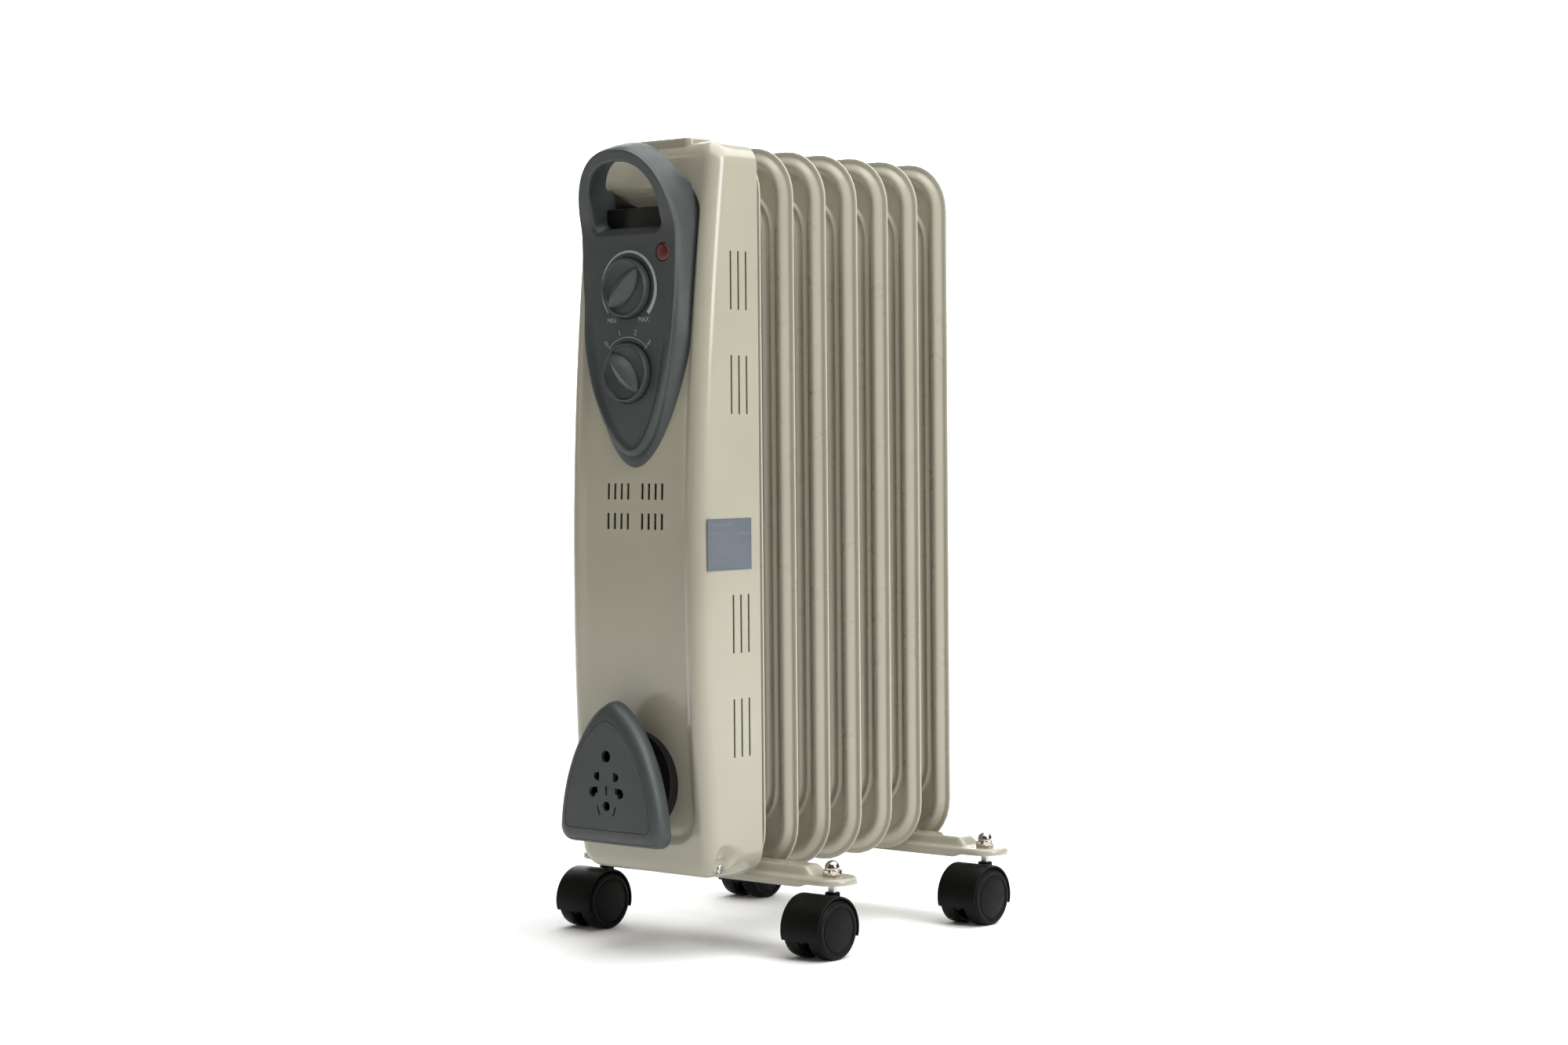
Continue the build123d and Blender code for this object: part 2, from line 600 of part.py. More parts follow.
def panel_outline(grow):
    """The panel seen from the front: an arched top, near-parallel sides and a long chin."""
    half_w = PANEL_HALF_W + grow
    top = face_top_z + grow
    tip = tip_z - 2 * grow
    right = []
    for step in (1.0, 0.985, 0.93, 0.84, 0.7, 0.5, 0.25):
        right.append((half_w * (1 - step ** 2.3) ** 0.42, shoulder_z + step * (top - shoulder_z)))
    right.append((half_w, shoulder_z))
    right.append((half_w, belly_z))
    for step in (0.3, 0.55, 0.75, 0.9, 0.98, 1.0):
        right.append((half_w * (1 - step ** 1.8) ** 0.6, belly_z - step * (belly_z - tip)))
    left = [(-x, z) for x, z in reversed(right[1:-1])]
    return make_face(Spline(*right, *left, periodic=True))


def grip_outline():
    """The finger opening: a flat bottom, straight sides and an arched top."""
    low = CASE_Z1 - GRIP_BOTTOM_DROP
    high = CASE_Z1 - GRIP_TOP_DROP
    arch = GRIP_ARCH_SHARE * (high - low)
    straight = Pos(0, (low + high - arch) / 2) * Rectangle(2 * GRIP_HALF_W, high - arch - low)
    straight = fillet(straight.vertices().group_by(Axis.Y)[0], GRIP_CORNER_R)
    crown = Pos(0, high - arch) * Ellipse(GRIP_HALF_W, arch)
    return straight + crown


def face_curve(offset):
    """The front face seen from the side, from the chin up to the bend."""
    span = bend_z - tip_z
    face_y = PANEL_FACE_Y + offset
    return Spline(
        (face_y, tip_z - 1),
        (face_y - PANEL_BULGE, tip_z + 0.3 * span),
        (face_y, tip_z + PANEL_FLAT_FROM * span),
        tangents=((-0.3, 1), (0, 1)),
    )


def panel_side(offset):
    """The panel's side profile: bowed face, leaning handle, and a step back to the casing."""
    curve = face_curve(offset)
    top_z = face_top_z
    top_y = PANEL_FACE_Y - lean * (top_z - bend_z) + offset
    thick = HANDLE_THICK - offset
    drop = thick * math.sin(math.radians(HANDLE_LEAN))
    back_y = top_y + thick * math.cos(math.radians(HANDLE_LEAN))
    notch_z = CASE_Z1 - HANDLE_NOTCH_DROP
    notch_y = back_y + lean * (top_z + drop - notch_z)
    deep_y = CASE_BACK_Y - 20
    outline = Polyline(
        curve @ 1,
        (PANEL_FACE_Y + offset, bend_z),
        (top_y, top_z),
        (back_y, top_z + drop),
        (notch_y, notch_z),
        (deep_y, notch_z),
        (deep_y, tip_z - 1),
        curve @ 0,
    )
    return make_face([curve, *outline.edges()])


side_form = slab_x(panel_side(0), -CASE_HALF_W, CASE_HALF_W)
face_prism = slab_y(panel_outline(0), REEL_FRONT_Y, CASE_BACK_Y)
panel = side_form & face_prism

skirt_form = slab_x(panel_side(PANEL_SKIRT), -CASE_HALF_W, CASE_HALF_W)
skirt_cap = block(
    -CASE_HALF_W, CASE_HALF_W, REEL_FRONT_Y, CASE_BACK_Y, tip_z - 30, bend_z + PANEL_SKIRT_DROP
)
skirt = skirt_form & slab_y(panel_outline(PANEL_SKIRT), REEL_FRONT_Y, CASE_BACK_Y) & skirt_cap
panel = panel + skirt
panel = panel - slab_y(grip_outline(), REEL_FRONT_Y - 5, CASE_BACK_Y)

cavity_cap = block(
    -CASE_HALF_W,
    CASE_HALF_W,
    REEL_FRONT_Y,
    CASE_BACK_Y,
    tip_z - 30,
    CASE_Z1 - GRIP_BOTTOM_DROP - PANEL_WALL,
)
cavity_form = slab_x(panel_side(PANEL_WALL), -CASE_HALF_W, CASE_HALF_W)
cavity = cavity_form & slab_y(panel_outline(-PANEL_WALL), REEL_FRONT_Y, CASE_BACK_Y) & cavity_cap
knob_centres = (THERMOSTAT_Z, SELECTOR_Z)
for z in knob_centres:
    seat_r = KNOB_R + KNOB_POCKET_GAP + POCKET_RING
    seat_back = KNOB_POCKET_Y + POCKET_WALL
    cavity = cavity - rod_y(0, z, seat_r, REEL_FRONT_Y, seat_back)
    cavity = cavity + rod_y(0, z, seat_r, seat_back, CASE_BACK_Y - 20)
panel = panel - cavity
for x, z in post_places:
    post_end = KNOB_POCKET_Y + POCKET_WALL
    panel = panel + rod_y(x, z, POST_R, post_end, CASE_BACK_Y - 20)
panel = panel - case_block(0) + (panel & recess_block(0))
for z in knob_centres:
    panel = panel - rod_y(0, z, KNOB_R + KNOB_POCKET_GAP, REEL_FRONT_Y, KNOB_POCKET_Y)
    panel = panel - rod_y(0, z, SPINDLE_R + SPINDLE_HOLE_GAP, REEL_FRONT_Y, CASE_BACK_Y - 20)
panel = panel - rod_y(LAMP_X, LAMP_Z, LAMP_STEM_R, REEL_FRONT_Y, CASE_BACK_Y - 20)
for x, z in post_places:
    seat_y = recess_floor_y(z)
    panel = panel - rod_y(x, z, PANEL_SCREW_R, seat_y - PANEL_SCREW_REACH, CASE_BACK_Y - 20)
panel = panel.solids().sort_by(SortBy.VOLUME)[-1]
save("control_panel", panel)

ledge_low = CASE_Z1 - GRIP_BOTTOM_DROP
ledge = slab_y(grip_outline(), *LEDGE_Y) & block(
    -GRIP_HALF_W, GRIP_HALF_W, *LEDGE_Y, ledge_low, CASE_Z1 - LEDGE_DROP
)
save("control_panel_back", ledge)

panel_screws = []
for x, z in post_places:
    seat_y = recess_floor_y(z) + CASE_WALL + PANEL_SCREW_SEAT
    shank = rod_y(x, z, PANEL_SCREW_R, recess_floor_y(z) - PANEL_SCREW_REACH, seat_y)
    head = rod_y(x, z, PANEL_SCREW_R * 2, seat_y, seat_y + PANEL_SCREW_HEAD_T)
    panel_screws.append(shank + head)
save("panel_screws", Compound(children=panel_screws))


# ---------------------------------------------------------------- thermostat and selector
def control_body(z):
    width, height = CONTROL_SIZE
    front, back = CONTROL_Y
    body = block(-width / 2, width / 2, front, back, z - height / 2, z + height / 2)
    body = fillet(body.edges().filter_by(Axis.Y), CONTROL_CORNER_R)
    body = body + rod_y(0, z, BUSH_R, KNOB_POCKET_Y + POCKET_WALL, front)
    bore = rod_y(0, z, SPINDLE_R + RUN_FIT, KNOB_POCKET_Y, (front + back) / 2)
    return body - bore


def tab(x, front, back, z):
    """One flat push-on tab."""
    return block(x - TAG_WIDTH / 2, x + TAG_WIDTH / 2, front, back, z - TAG_T / 2, z + TAG_T / 2)


def terminals(z, count):
    back = CONTROL_Y[1]
    tags = []
    for tag in range(count):
        x = (tag - (count - 1) / 2) * TAG_PITCH
        tags.append(tab(x, back, back + TAG_LENGTH, z))
    return tags


def spindle(z):
    rod = rod_y(0, z, SPINDLE_R, KNOB_RIM_Y + 1, (CONTROL_Y[0] + CONTROL_Y[1]) / 2 - 1)
    flat = block(
        -SPINDLE_R, SPINDLE_R, KNOB_RIM_Y, KNOB_BACK_Y, z + SPINDLE_R - SPINDLE_FLAT, z + SPINDLE_R
    )
    return rod - flat


def knob(z, grip_angle):
    """A round knob with a lens-shaped finger bar across its face."""
    disc = rod_y(0, z, KNOB_R, KNOB_RIM_Y, KNOB_BACK_Y)
    disc = fillet(disc.edges().group_by(Axis.Y)[0], KNOB_EDGE_R)
    bar_length = 2 * (KNOB_R - KNOB_GRIP_MARGIN)
    arc_r = (bar_length ** 2 / 4 + (KNOB_GRIP_W / 2) ** 2) / KNOB_GRIP_W
    offset = arc_r - KNOB_GRIP_W / 2
    lens = (Pos(0, offset) * Circle(arc_r)) & (Pos(0, -offset) * Circle(arc_r))
    bar = slab_y(Pos(0, z) * Rot(0, 0, grip_angle) * lens, KNOB_GRIP_Y, KNOB_RIM_Y + 2)
    return disc + bar - spindle(z)


for name, body_name, z, angle, tag_count in (
    ("thermostat", "thermostat_body", THERMOSTAT_Z, THERMOSTAT_GRIP, 2),
    ("selector", "selector_switch_body", SELECTOR_Z, SELECTOR_GRIP, 3),
):
    body = control_body(z)
    for tag in terminals(z, tag_count):
        body = body + tag
    save(body_name, body)
    save(f"{name}_spindle", spindle(z))
    save(f"{name}_knob", knob(z, angle))

lamp_face = PANEL_FACE_Y
lamp_back = lamp_face + 5
lens = rod_y(LAMP_X, LAMP_Z, LAMP_R, lamp_face - LAMP_RISE, lamp_face)
lens = fillet(lens.edges().group_by(Axis.Y)[0], 1.2)
lens = lens + rod_y(LAMP_X, LAMP_Z, LAMP_STEM_R, lamp_face, lamp_back)
save("indicator_lens", lens)
neon_back = recess_floor_y(LAMP_Z) - 1.5
neon = rod_y(LAMP_X, LAMP_Z, LAMP_STEM_R - 1, lamp_back, neon_back)
save("indicator_body", neon)


# ---------------------------------------------------------------- electrics inside the casing
cutout_z = FIN_MID_Z + CUTOUT_RISE
cutout_front = plate_front - CUTOUT_T
cutout_tip_y = cutout_front - TAG_LENGTH + 1
cutout_tag_x = CUTOUT_R - 2
cutout = rod_y(0, cutout_z, CUTOUT_R, cutout_front, plate_front)
for side in (-1, 1):
    cutout = cutout + tab(side * cutout_tag_x, cutout_tip_y, cutout_front + 1, cutout_z)
save("thermal_cutout", cutout)

block_w, block_deep, block_high = BLOCK_SIZE
block_z = CASE_Z0 + BLOCK_LIFT
terminal = block(
    -block_w / 2, block_w / 2, plate_front - block_deep, plate_front, block_z, block_z + block_high
)
for way in (-1, 0, 1):
    well_y = plate_front - block_deep / 2
    terminal = terminal - rod_z(
        way * BLOCK_WAY_PITCH, well_y, BLOCK_WELL_R, block_z + 1, block_z + block_high + 1
    )
save("terminal_block", terminal)

earth_z = CASE_Z0 + EARTH_LIFT
ring_front = plate_front - EARTH_T
earth = rod_y(EARTH_X, earth_z, EARTH_R, ring_front, plate_front)
earth = earth + slab_y(Pos(EARTH_X, earth_z) * hexagon(EARTH_NUT_AF), ring_front - EARTH_NUT_T, ring_front)
save("earth_tag", earth)


def wire(start, middle_y, end):
    """A link that leaves forwards, rises in front of the plate, and turns back in."""
    points = [start, (start[0], middle_y, start[2]), (end[0], middle_y, end[2]), end]
    path = FilletPolyline(*points, radius=WIRE_BEND_R)
    section = Plane(origin=path @ 0, z_dir=path % 0) * Circle(WIRE_R)
    return sweep(section, path=path)


tag_y = CONTROL_Y[1] + TAG_LENGTH
element_tip_y = FLANGE_Y - TERMINAL_LENGTH
links = [
    wire((TAG_PITCH, tag_y, SELECTOR_Z), tag_y + 9, (TAG_PITCH / 2, tag_y, THERMOSTAT_Z)),
    wire(
        (cutout_tag_x, cutout_tip_y, cutout_z),
        cutout_tip_y - 8,
        (ELEMENT_HALF_X, element_tip_y, LOW_HEADER_Z),
    ),
]
save("internal_wires", Compound(children=links))


# ---------------------------------------------------------------- cord winder
def arch(inset):
    """The winder's front: a flat foot and two long arcs that meet in a round head."""
    low = REEL_Z0 + inset
    high = REEL_Z0 + REEL_HEIGHT - inset
    half_w = REEL_HALF_W - inset
    right = [(half_w * (1 - step ** 1.9) ** 0.62, low + step * (high - low))
             for step in (0.0, 0.2, 0.45, 0.7, 0.88, 0.97, 1.0)]
    left = [(-x, z) for x, z in reversed(right[:-1])]
    curve = Spline(*right, *left)
    foot = Line(curve @ 1, curve @ 0)
    return make_face([curve, foot])


reel_back_y = REEL_FRONT_Y + REEL_DEPTH
plate_face = fillet(arch(0).vertices(), REEL_CORNER_R)
reel_plate = slab_y(plate_face, REEL_FRONT_Y, reel_back_y)
reel_plate = fillet(reel_plate.edges().group_by(Axis.Y)[0], REEL_EDGE_R)
dish = slab_y(fillet(arch(REEL_WALL).vertices(), REEL_CORNER_R - REEL_WALL), REEL_FRONT_Y + REEL_WALL, 0)
reel_plate = reel_plate - dish
parking = [
    Pos(0, 59.9) * Circle(4.0),
    Pos(0, 26.7) * Circle(3.25),
    Pos(0, 37.1) * Rectangle(2.0, 6.3),
]
for side in (-1, 1):
    parking.append(Pos(side * 8.85, 46.4) * Rectangle(5.0, 6.4))
    parking.append(Pos(side * 11.65, 35.9) * Rectangle(7.6, 6.4))
    parking.append(Pos(side * 7.2, 23.6) * Rot(0, 0, side * -22) * Rectangle(2.0, 7.0))
for hole in parking:
    placed = Pos(0, REEL_Z0) * hole
    reel_plate = reel_plate - slab_y(placed, REEL_FRONT_Y - 1, REEL_FRONT_Y + REEL_WALL + 1)
save("reel_front_plate", reel_plate)

hub_front = REEL_FRONT_Y + REEL_WALL
hub = rod_y(0, HUB_Z, REEL_HUB_R, hub_front, REEL_FLANGE_Y)
hub = hub - rod_y(0, HUB_Z, REEL_HUB_R - REEL_WALL, hub_front - 1, REEL_FLANGE_Y - REEL_WALL)
save("reel_hub", hub)

rear_flange = rod_y(0, HUB_Z, REEL_FLANGE_R, REEL_FLANGE_Y, CASE_BACK_Y - 20)
rear_flange = rear_flange & recess_block(0)
save("reel_rear_flange", rear_flange)

gland_floor = recess_floor_y(gland_z)
gland = rod_y(GLAND_X, gland_z, GLAND_R, gland_floor - 6, gland_floor) & recess_block(0)
gland = gland + rod_y(GLAND_X, gland_z, GLAND_NECK_R, gland_floor - 6, gland_floor + 8)
gland = gland - rod_y(GLAND_X, gland_z, GLAND_NECK_R - GLAND_WALL, gland_floor - 8, gland_floor + 10)
save("cord_gland", gland)


# ---------------------------------------------------------------- leg brackets
def leg_tray(inset, top_z):
    """An inverted tray with round ends, and a long raised rib along its middle."""
    half_w = LEG_HALF_W - inset
    outline = SlotCenterToCenter(2 * LEG_STEM_X, 2 * half_w)
    low = LEG_BOTTOM_Z if inset == 0 else LEG_BOTTOM_Z - 1
    tray = slab_z(outline, low, top_z)
    top_edges = tray.edges().group_by(Axis.Z)[-1]
    tray = fillet(top_edges, LEG_EDGE_R - inset)
    rib_top = top_z + RIB_HEIGHT
    foot = RIB_HALF_TOP + RIB_SLOPE - inset
    head = RIB_HALF_TOP - inset / 2
    rib_side = make_face(
        Polyline((-foot, top_z - 2), (-foot, top_z), (-head, rib_top), (head, rib_top),
                 (foot, top_z), (foot, top_z - 2), close=True)
    )
    half_rib = RIB_WIDTH / 2 - inset
    rib = slab_y(rib_side, -half_rib, half_rib)
    long_edges = rib.edges().filter_by(Axis.X).group_by(Axis.Z)[-1]
    rib = fillet(long_edges, LEG_EDGE_R - inset)
    return tray + rib


def make_leg():
    leg = leg_tray(0, LEG_TOP_Z) - leg_tray(LEG_SHEET, LEG_TOP_Z - LEG_SHEET)
    end_rise = LEG_FLANGE - LEG_END_FLANGE
    for side in (-1, 1):
        relief = Polyline(
            (side * (LEG_STEM_X - 16), LEG_BOTTOM_Z),
            (side * (LEG_STEM_X - 10), LEG_BOTTOM_Z + end_rise),
            (side * (LEG_STEM_X + 30), LEG_BOTTOM_Z + end_rise),
            (side * (LEG_STEM_X + 30), LEG_BOTTOM_Z - 3),
            (side * (LEG_STEM_X - 16), LEG_BOTTOM_Z - 3),
            close=True,
        )
        leg = leg - slab_y(make_face(relief), -LEG_HALF_W - 1, LEG_HALF_W + 1)
        leg = leg - rod_z(side * LEG_STEM_X, 0, STEM_R, LEG_BOTTOM_Z, LEG_TOP_Z + 1)
        leg = leg - rod_z(side * U_CENTRE_R, 0, U_BOLT_R, LEG_BOTTOM_Z, RIB_TOP_Z + 1)
    return leg


def make_u_bolt():
    low = RIB_TOP_Z - LEG_SHEET - U_NUT_HEIGHT - 1.5
    left = Line((-U_CENTRE_R, 0, low), (-U_CENTRE_R, 0, LOW_HEADER_Z))
    crown = ThreePointArc(
        (-U_CENTRE_R, 0, LOW_HEADER_Z), (0, 0, LOW_HEADER_Z + U_CENTRE_R), (U_CENTRE_R, 0, LOW_HEADER_Z)
    )
    right = Line((U_CENTRE_R, 0, LOW_HEADER_Z), (U_CENTRE_R, 0, low))
    path = Wire([left.edges()[0], crown.edges()[0], right.edges()[0]])
    section = Plane(origin=path @ 0, z_dir=path % 0) * Circle(U_BOLT_R)
    return sweep(section, path=path)


leg_shape = make_leg()
u_bolt = make_u_bolt()
u_bolts = []
u_nuts = []
cap_nuts = []
for leg_name, leg_y in (("leg_front", FRONT_LEG_Y), ("leg_rear", REAR_LEG_Y)):
    save(leg_name, Pos(0, leg_y, 0) * leg_shape)
    u_bolts.append(Pos(0, leg_y, 0) * u_bolt)
    for side in (-1, 1):
        nut_top = RIB_TOP_Z - LEG_SHEET
        nut = slab_z(Pos(side * U_CENTRE_R, leg_y) * hexagon(U_NUT_AF), nut_top - U_NUT_HEIGHT, nut_top)
        u_nuts.append(nut - rod_z(side * U_CENTRE_R, leg_y, U_BOLT_R, nut_top - 9, nut_top + 1))
        cap = slab_z(Pos(side * LEG_STEM_X, leg_y) * hexagon(CAP_NUT_AF), LEG_TOP_Z, LEG_TOP_Z + CAP_NUT_HEX)
        dome_z = LEG_TOP_Z + CAP_NUT_HEX
        dome = rod_z(side * LEG_STEM_X, leg_y, CAP_NUT_DOME_R, dome_z - 1, dome_z + 1.2)
        ball = Pos(side * LEG_STEM_X, leg_y, dome_z + 1.2) * Sphere(CAP_NUT_DOME_R)
        upper = rod_z(side * LEG_STEM_X, leg_y, CAP_NUT_DOME_R + 1, dome_z + 1.2, dome_z + 9)
        cap = cap + dome + (ball & upper)
        cap_nuts.append(cap - rod_z(side * LEG_STEM_X, leg_y, STEM_R, LEG_TOP_Z - 1, dome_z + 1.5))
save("leg_u_bolts", Compound(children=u_bolts))
save("leg_u_nuts", Compound(children=u_nuts))
save("caster_cap_nuts", Compound(children=cap_nuts))


# ---------------------------------------------------------------- casters
def caster_stem():
    """Threaded above, with a plain pin that the hood turns on below."""
    top = LEG_TOP_Z + CAP_NUT_HEX + 1.0
    stem = rod_z(0, 0, STEM_R, COLLAR_TOP_Z + 0.3, top)
    pin = rod_z(0, 0, STEM_PIN_R, SOCKET_BOTTOM_Z + SOCKET_FLOOR + PIN_END_GAP, COLLAR_TOP_Z + 1)
    shoulder = rod_z(0, 0, STEM_R + STEM_SHOULDER, LEG_TOP_Z - LEG_SHEET - 1.5, LEG_TOP_Z - LEG_SHEET)
    return stem + pin + shoulder


def caster_hood():
    """A curved cover over both wheels, with a centre web, axle hole and stem socket."""
    axle_y = -CASTER_TRAIL
    cover = rod_x(axle_y, AXLE_Z, HOOD_R, -HOOD_HALF_W, HOOD_HALF_W)
    cover = cover - rod_x(axle_y, AXLE_Z, HOOD_R - HOOD_WALL, -HOOD_HALF_W - 1, HOOD_HALF_W + 1)
    drop = HOOD_R * math.sin(math.radians(HOOD_LOW_ANGLE))
    mouth = block(-40, 40, axle_y - 40, axle_y + 40, -5, AXLE_Z - drop)
    web = rod_x(axle_y, AXLE_Z, HOOD_R - HOOD_WALL / 2, -CASTER_WEB / 2, CASTER_WEB / 2)
    web = web - block(-5, 5, axle_y - 40, axle_y + 40, -5, AXLE_Z - 8)
    socket = rod_z(0, 0, SOCKET_R, SOCKET_BOTTOM_Z, HOOD_TOP_Z - 1)
    collar = rod_z(0, 0, COLLAR_R, HOOD_TOP_Z - 7, COLLAR_TOP_Z)
    collar = collar - rod_x(axle_y, AXLE_Z, HOOD_R - HOOD_WALL / 2, -COLLAR_R - 1, COLLAR_R + 1)
    hood = (cover - mouth) + web + socket + collar
    bore = rod_z(0, 0, STEM_PIN_R + RUN_FIT, SOCKET_BOTTOM_Z + SOCKET_FLOOR, COLLAR_TOP_Z + 1)
    return hood - bore - rod_x(axle_y, AXLE_Z, AXLE_R, -10, 10)


def caster_wheel(side):
    """A cup: outer disc, rim and hub, open towards the centre web."""
    axle_y = -CASTER_TRAIL
    inner = WHEEL_INNER_X
    outer = WHEEL_INNER_X + WHEEL_WIDTH
    wheel = rod_x(axle_y, AXLE_Z, WHEEL_R, inner, outer)
    wheel = fillet(wheel.edges(), 1.0)
    wheel = wheel - rod_x(axle_y, AXLE_Z, WHEEL_R - WHEEL_RIM, inner - 1, outer - WHEEL_DISC)
    hub_start = CASTER_WEB / 2 + 0.4
    wheel = wheel + rod_x(axle_y, AXLE_Z, WHEEL_HUB_R, hub_start, outer - WHEEL_DISC + 0.5)
    wheel = wheel - rod_x(axle_y, AXLE_Z, AXLE_R + RUN_FIT, hub_start - 1, outer - WHEEL_DISC)
    return wheel if side > 0 else Pos(0, 2 * axle_y, 0) * Rot(0, 0, 180) * wheel


stem_shape = caster_stem()
hood_shape = caster_hood()
axle_shape = rod_x(-CASTER_TRAIL, AXLE_Z, AXLE_R, -AXLE_HALF, AXLE_HALF)
wheel_shapes = (("left", caster_wheel(-1)), ("right", caster_wheel(1)))
corners = (
    ("front_left", -LEG_STEM_X, FRONT_LEG_Y),
    ("front_right", LEG_STEM_X, FRONT_LEG_Y),
    ("rear_left", -LEG_STEM_X, REAR_LEG_Y),
    ("rear_right", LEG_STEM_X, REAR_LEG_Y),
)
for corner, x, y in corners:
    place = Pos(x, y, 0)
    save(f"stem_{corner}", place * stem_shape)
    save(f"hood_{corner}", place * hood_shape)
    save(f"axle_{corner}", place * axle_shape)
    for side_name, wheel_shape in wheel_shapes:
        save(f"wheel_{corner}_{side_name}", place * wheel_shape)

print("first fin at y", round(-FOOTPRINT_MID_Y, 3), "leg underside z", round(LEG_BOTTOM_Z, 3))
print("stem collar top", round(COLLAR_TOP_Z, 3), "casing", round(CASE_Z0, 3), round(CASE_Z1, 3))
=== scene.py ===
"""The looks of the oil filled radiator heater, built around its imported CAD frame.

Local sizes are in millimetres and become metres in make_object(). +X is the label side, -Y the front.
"""

import json
import math

import bmesh
import bpy
from mathutils import Matrix, Vector


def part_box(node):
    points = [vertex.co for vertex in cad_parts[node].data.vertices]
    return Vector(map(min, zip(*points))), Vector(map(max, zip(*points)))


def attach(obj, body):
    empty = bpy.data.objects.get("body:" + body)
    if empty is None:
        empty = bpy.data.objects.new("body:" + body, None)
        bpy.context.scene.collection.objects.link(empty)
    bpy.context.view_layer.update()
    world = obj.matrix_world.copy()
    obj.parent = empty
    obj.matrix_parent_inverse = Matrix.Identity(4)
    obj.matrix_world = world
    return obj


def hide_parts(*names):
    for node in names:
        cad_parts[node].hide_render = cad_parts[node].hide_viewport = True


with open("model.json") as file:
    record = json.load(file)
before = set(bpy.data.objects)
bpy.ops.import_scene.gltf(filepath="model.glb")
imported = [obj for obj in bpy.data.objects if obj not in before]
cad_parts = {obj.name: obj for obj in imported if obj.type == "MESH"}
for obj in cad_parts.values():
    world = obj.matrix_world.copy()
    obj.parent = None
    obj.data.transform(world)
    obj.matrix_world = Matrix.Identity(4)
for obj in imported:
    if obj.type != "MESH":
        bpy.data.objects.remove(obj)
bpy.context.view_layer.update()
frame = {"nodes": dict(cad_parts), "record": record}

MM = 0.001
WELD = 0.004                 # vertices closer than this, in mm, become one


# -------- sizes read from the frame, in mm
def box_mm(node):
    low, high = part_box(node)
    return low / MM, high / MM


def centre_mm(node):
    low, high = box_mm(node)
    return (low.x + high.x) / 2, (low.y + high.y) / 2, (low.z + high.z) / 2


CASE_LOW, CASE_HIGH = box_mm("casing_shell")
FIN_LOW, FIN_HIGH = box_mm("fin_2")
FIN_COUNT = 7
FIN_PITCH = box_mm("fin_3")[0].y - FIN_LOW.y
FIN_1_Y = (FIN_LOW.y + FIN_HIGH.y) / 2 - FIN_PITCH
LEG_LOW, LEG_HIGH = box_mm("leg_front")
REEL_LOW, REEL_HIGH = box_mm("reel_front_plate")
PAD_HEIGHT = 3.4
PAD_HALF_W = 33.0
PAD_DEPTH = 25.0
PAD_BACK = 10.3              # casing's back to the pad
PAD_CORNER_R = 5.0
CASE_TOP = CASE_HIGH.z - PAD_HEIGHT
CASE_BOTTOM = CASE_LOW.z
CASE_HALF_W = CASE_HIGH.x
CASE_FRONT = CASE_LOW.y
CASE_BACK = CASE_HIGH.y
BOW_Z = CASE_BOTTOM + 192.5  # where the bowed front stands out most
CASE_BOW_R = 2112.0
FLOOR_BOW_R = 1700.0
RECESS_DEPTH = 1.8
THERMOSTAT_Z = CASE_TOP - 97.1
SELECTOR_Z = CASE_TOP - 153.7


# -------- small maths
def lerp(a, b, t):
    return a + (b - a) * t


def smooth(low, high, value):
    """0 below low, 1 above high, and an S-curve between; low may be the larger."""
    t = min(max((value - low) / (high - low), 0.0), 1.0)
    return t * t * (3 - 2 * t)


def steps(count):
    return [i / count for i in range(count + 1)]


def quarter(count):
    """(sine, cosine) at the end of each of count equal steps of a quarter turn."""
    angles = [math.pi / 2 * i / count for i in range(1, count + 1)]
    return [(math.sin(a), math.cos(a)) for a in angles]


# -------- outlines and loops
def rounded_rect(half_w, low, high, radius, side, arc=8, flat=6):
    """An upright rounded rectangle. side lists where its points fall along each upright, 0 to 1."""
    radius = max(radius, 0.01)
    right = [(half_w, lerp(low + radius, high - radius, t)) for t in side]
    top = [(lerp(half_w - radius, radius - half_w, t), high) for t in steps(flat)]
    left = [(-x, z) for x, z in reversed(right)]
    bottom = [(-x, low) for x, _ in top]
    runs_and_corners = (
        (right, half_w - radius, high - radius),
        (top, radius - half_w, high - radius),
        (left, radius - half_w, low + radius),
        (bottom, half_w - radius, low + radius),
    )
    points = []
    for turn, (run, corner_x, corner_z) in enumerate(runs_and_corners):
        points += run
        for i in range(1, arc):
            a = math.pi / 2 * (turn + i / arc)
            points.append((corner_x + radius * math.cos(a), corner_z + radius * math.sin(a)))
    return points


def inset_outline(points, distance):
    """The same closed outline moved inwards along its normals, for small distances."""
    inner = []
    count = len(points)
    for i, (x, z) in enumerate(points):
        x0, z0 = points[i - 1]
        x1, z1 = points[(i + 1) % count]
        length = max(math.hypot(x1 - x0, z1 - z0), 1e-6)
        inner.append((x - distance * (z1 - z0) / length, z + distance * (x1 - x0) / length))
    return inner


def blend_outline(a, b, t):
    return [(lerp(p[0], q[0], t), lerp(p[1], q[1], t)) for p, q in zip(a, b)]


def shrink(outline, amount, spine_low, spine_high):
    """Moves an outline towards an upright line in its middle; amount goes from 0 to 1."""
    return [(x * (1 - amount), lerp(z, min(max(z, spine_low), spine_high), amount)) for x, z in outline]


def circle(radius, count=64, x=0.0, z=0.0):
    turns = [2 * math.pi * i / count for i in range(count)]
    return [(x + radius * math.cos(a), z + radius * math.sin(a)) for a in turns]


def at_depth(outline, y):
    """Outline points as 3-D points. y is a depth, or a function of x and z."""
    if callable(y):
        return [(x, y(x, z), z) for x, z in outline]
    return [(x, y, z) for x, z in outline]


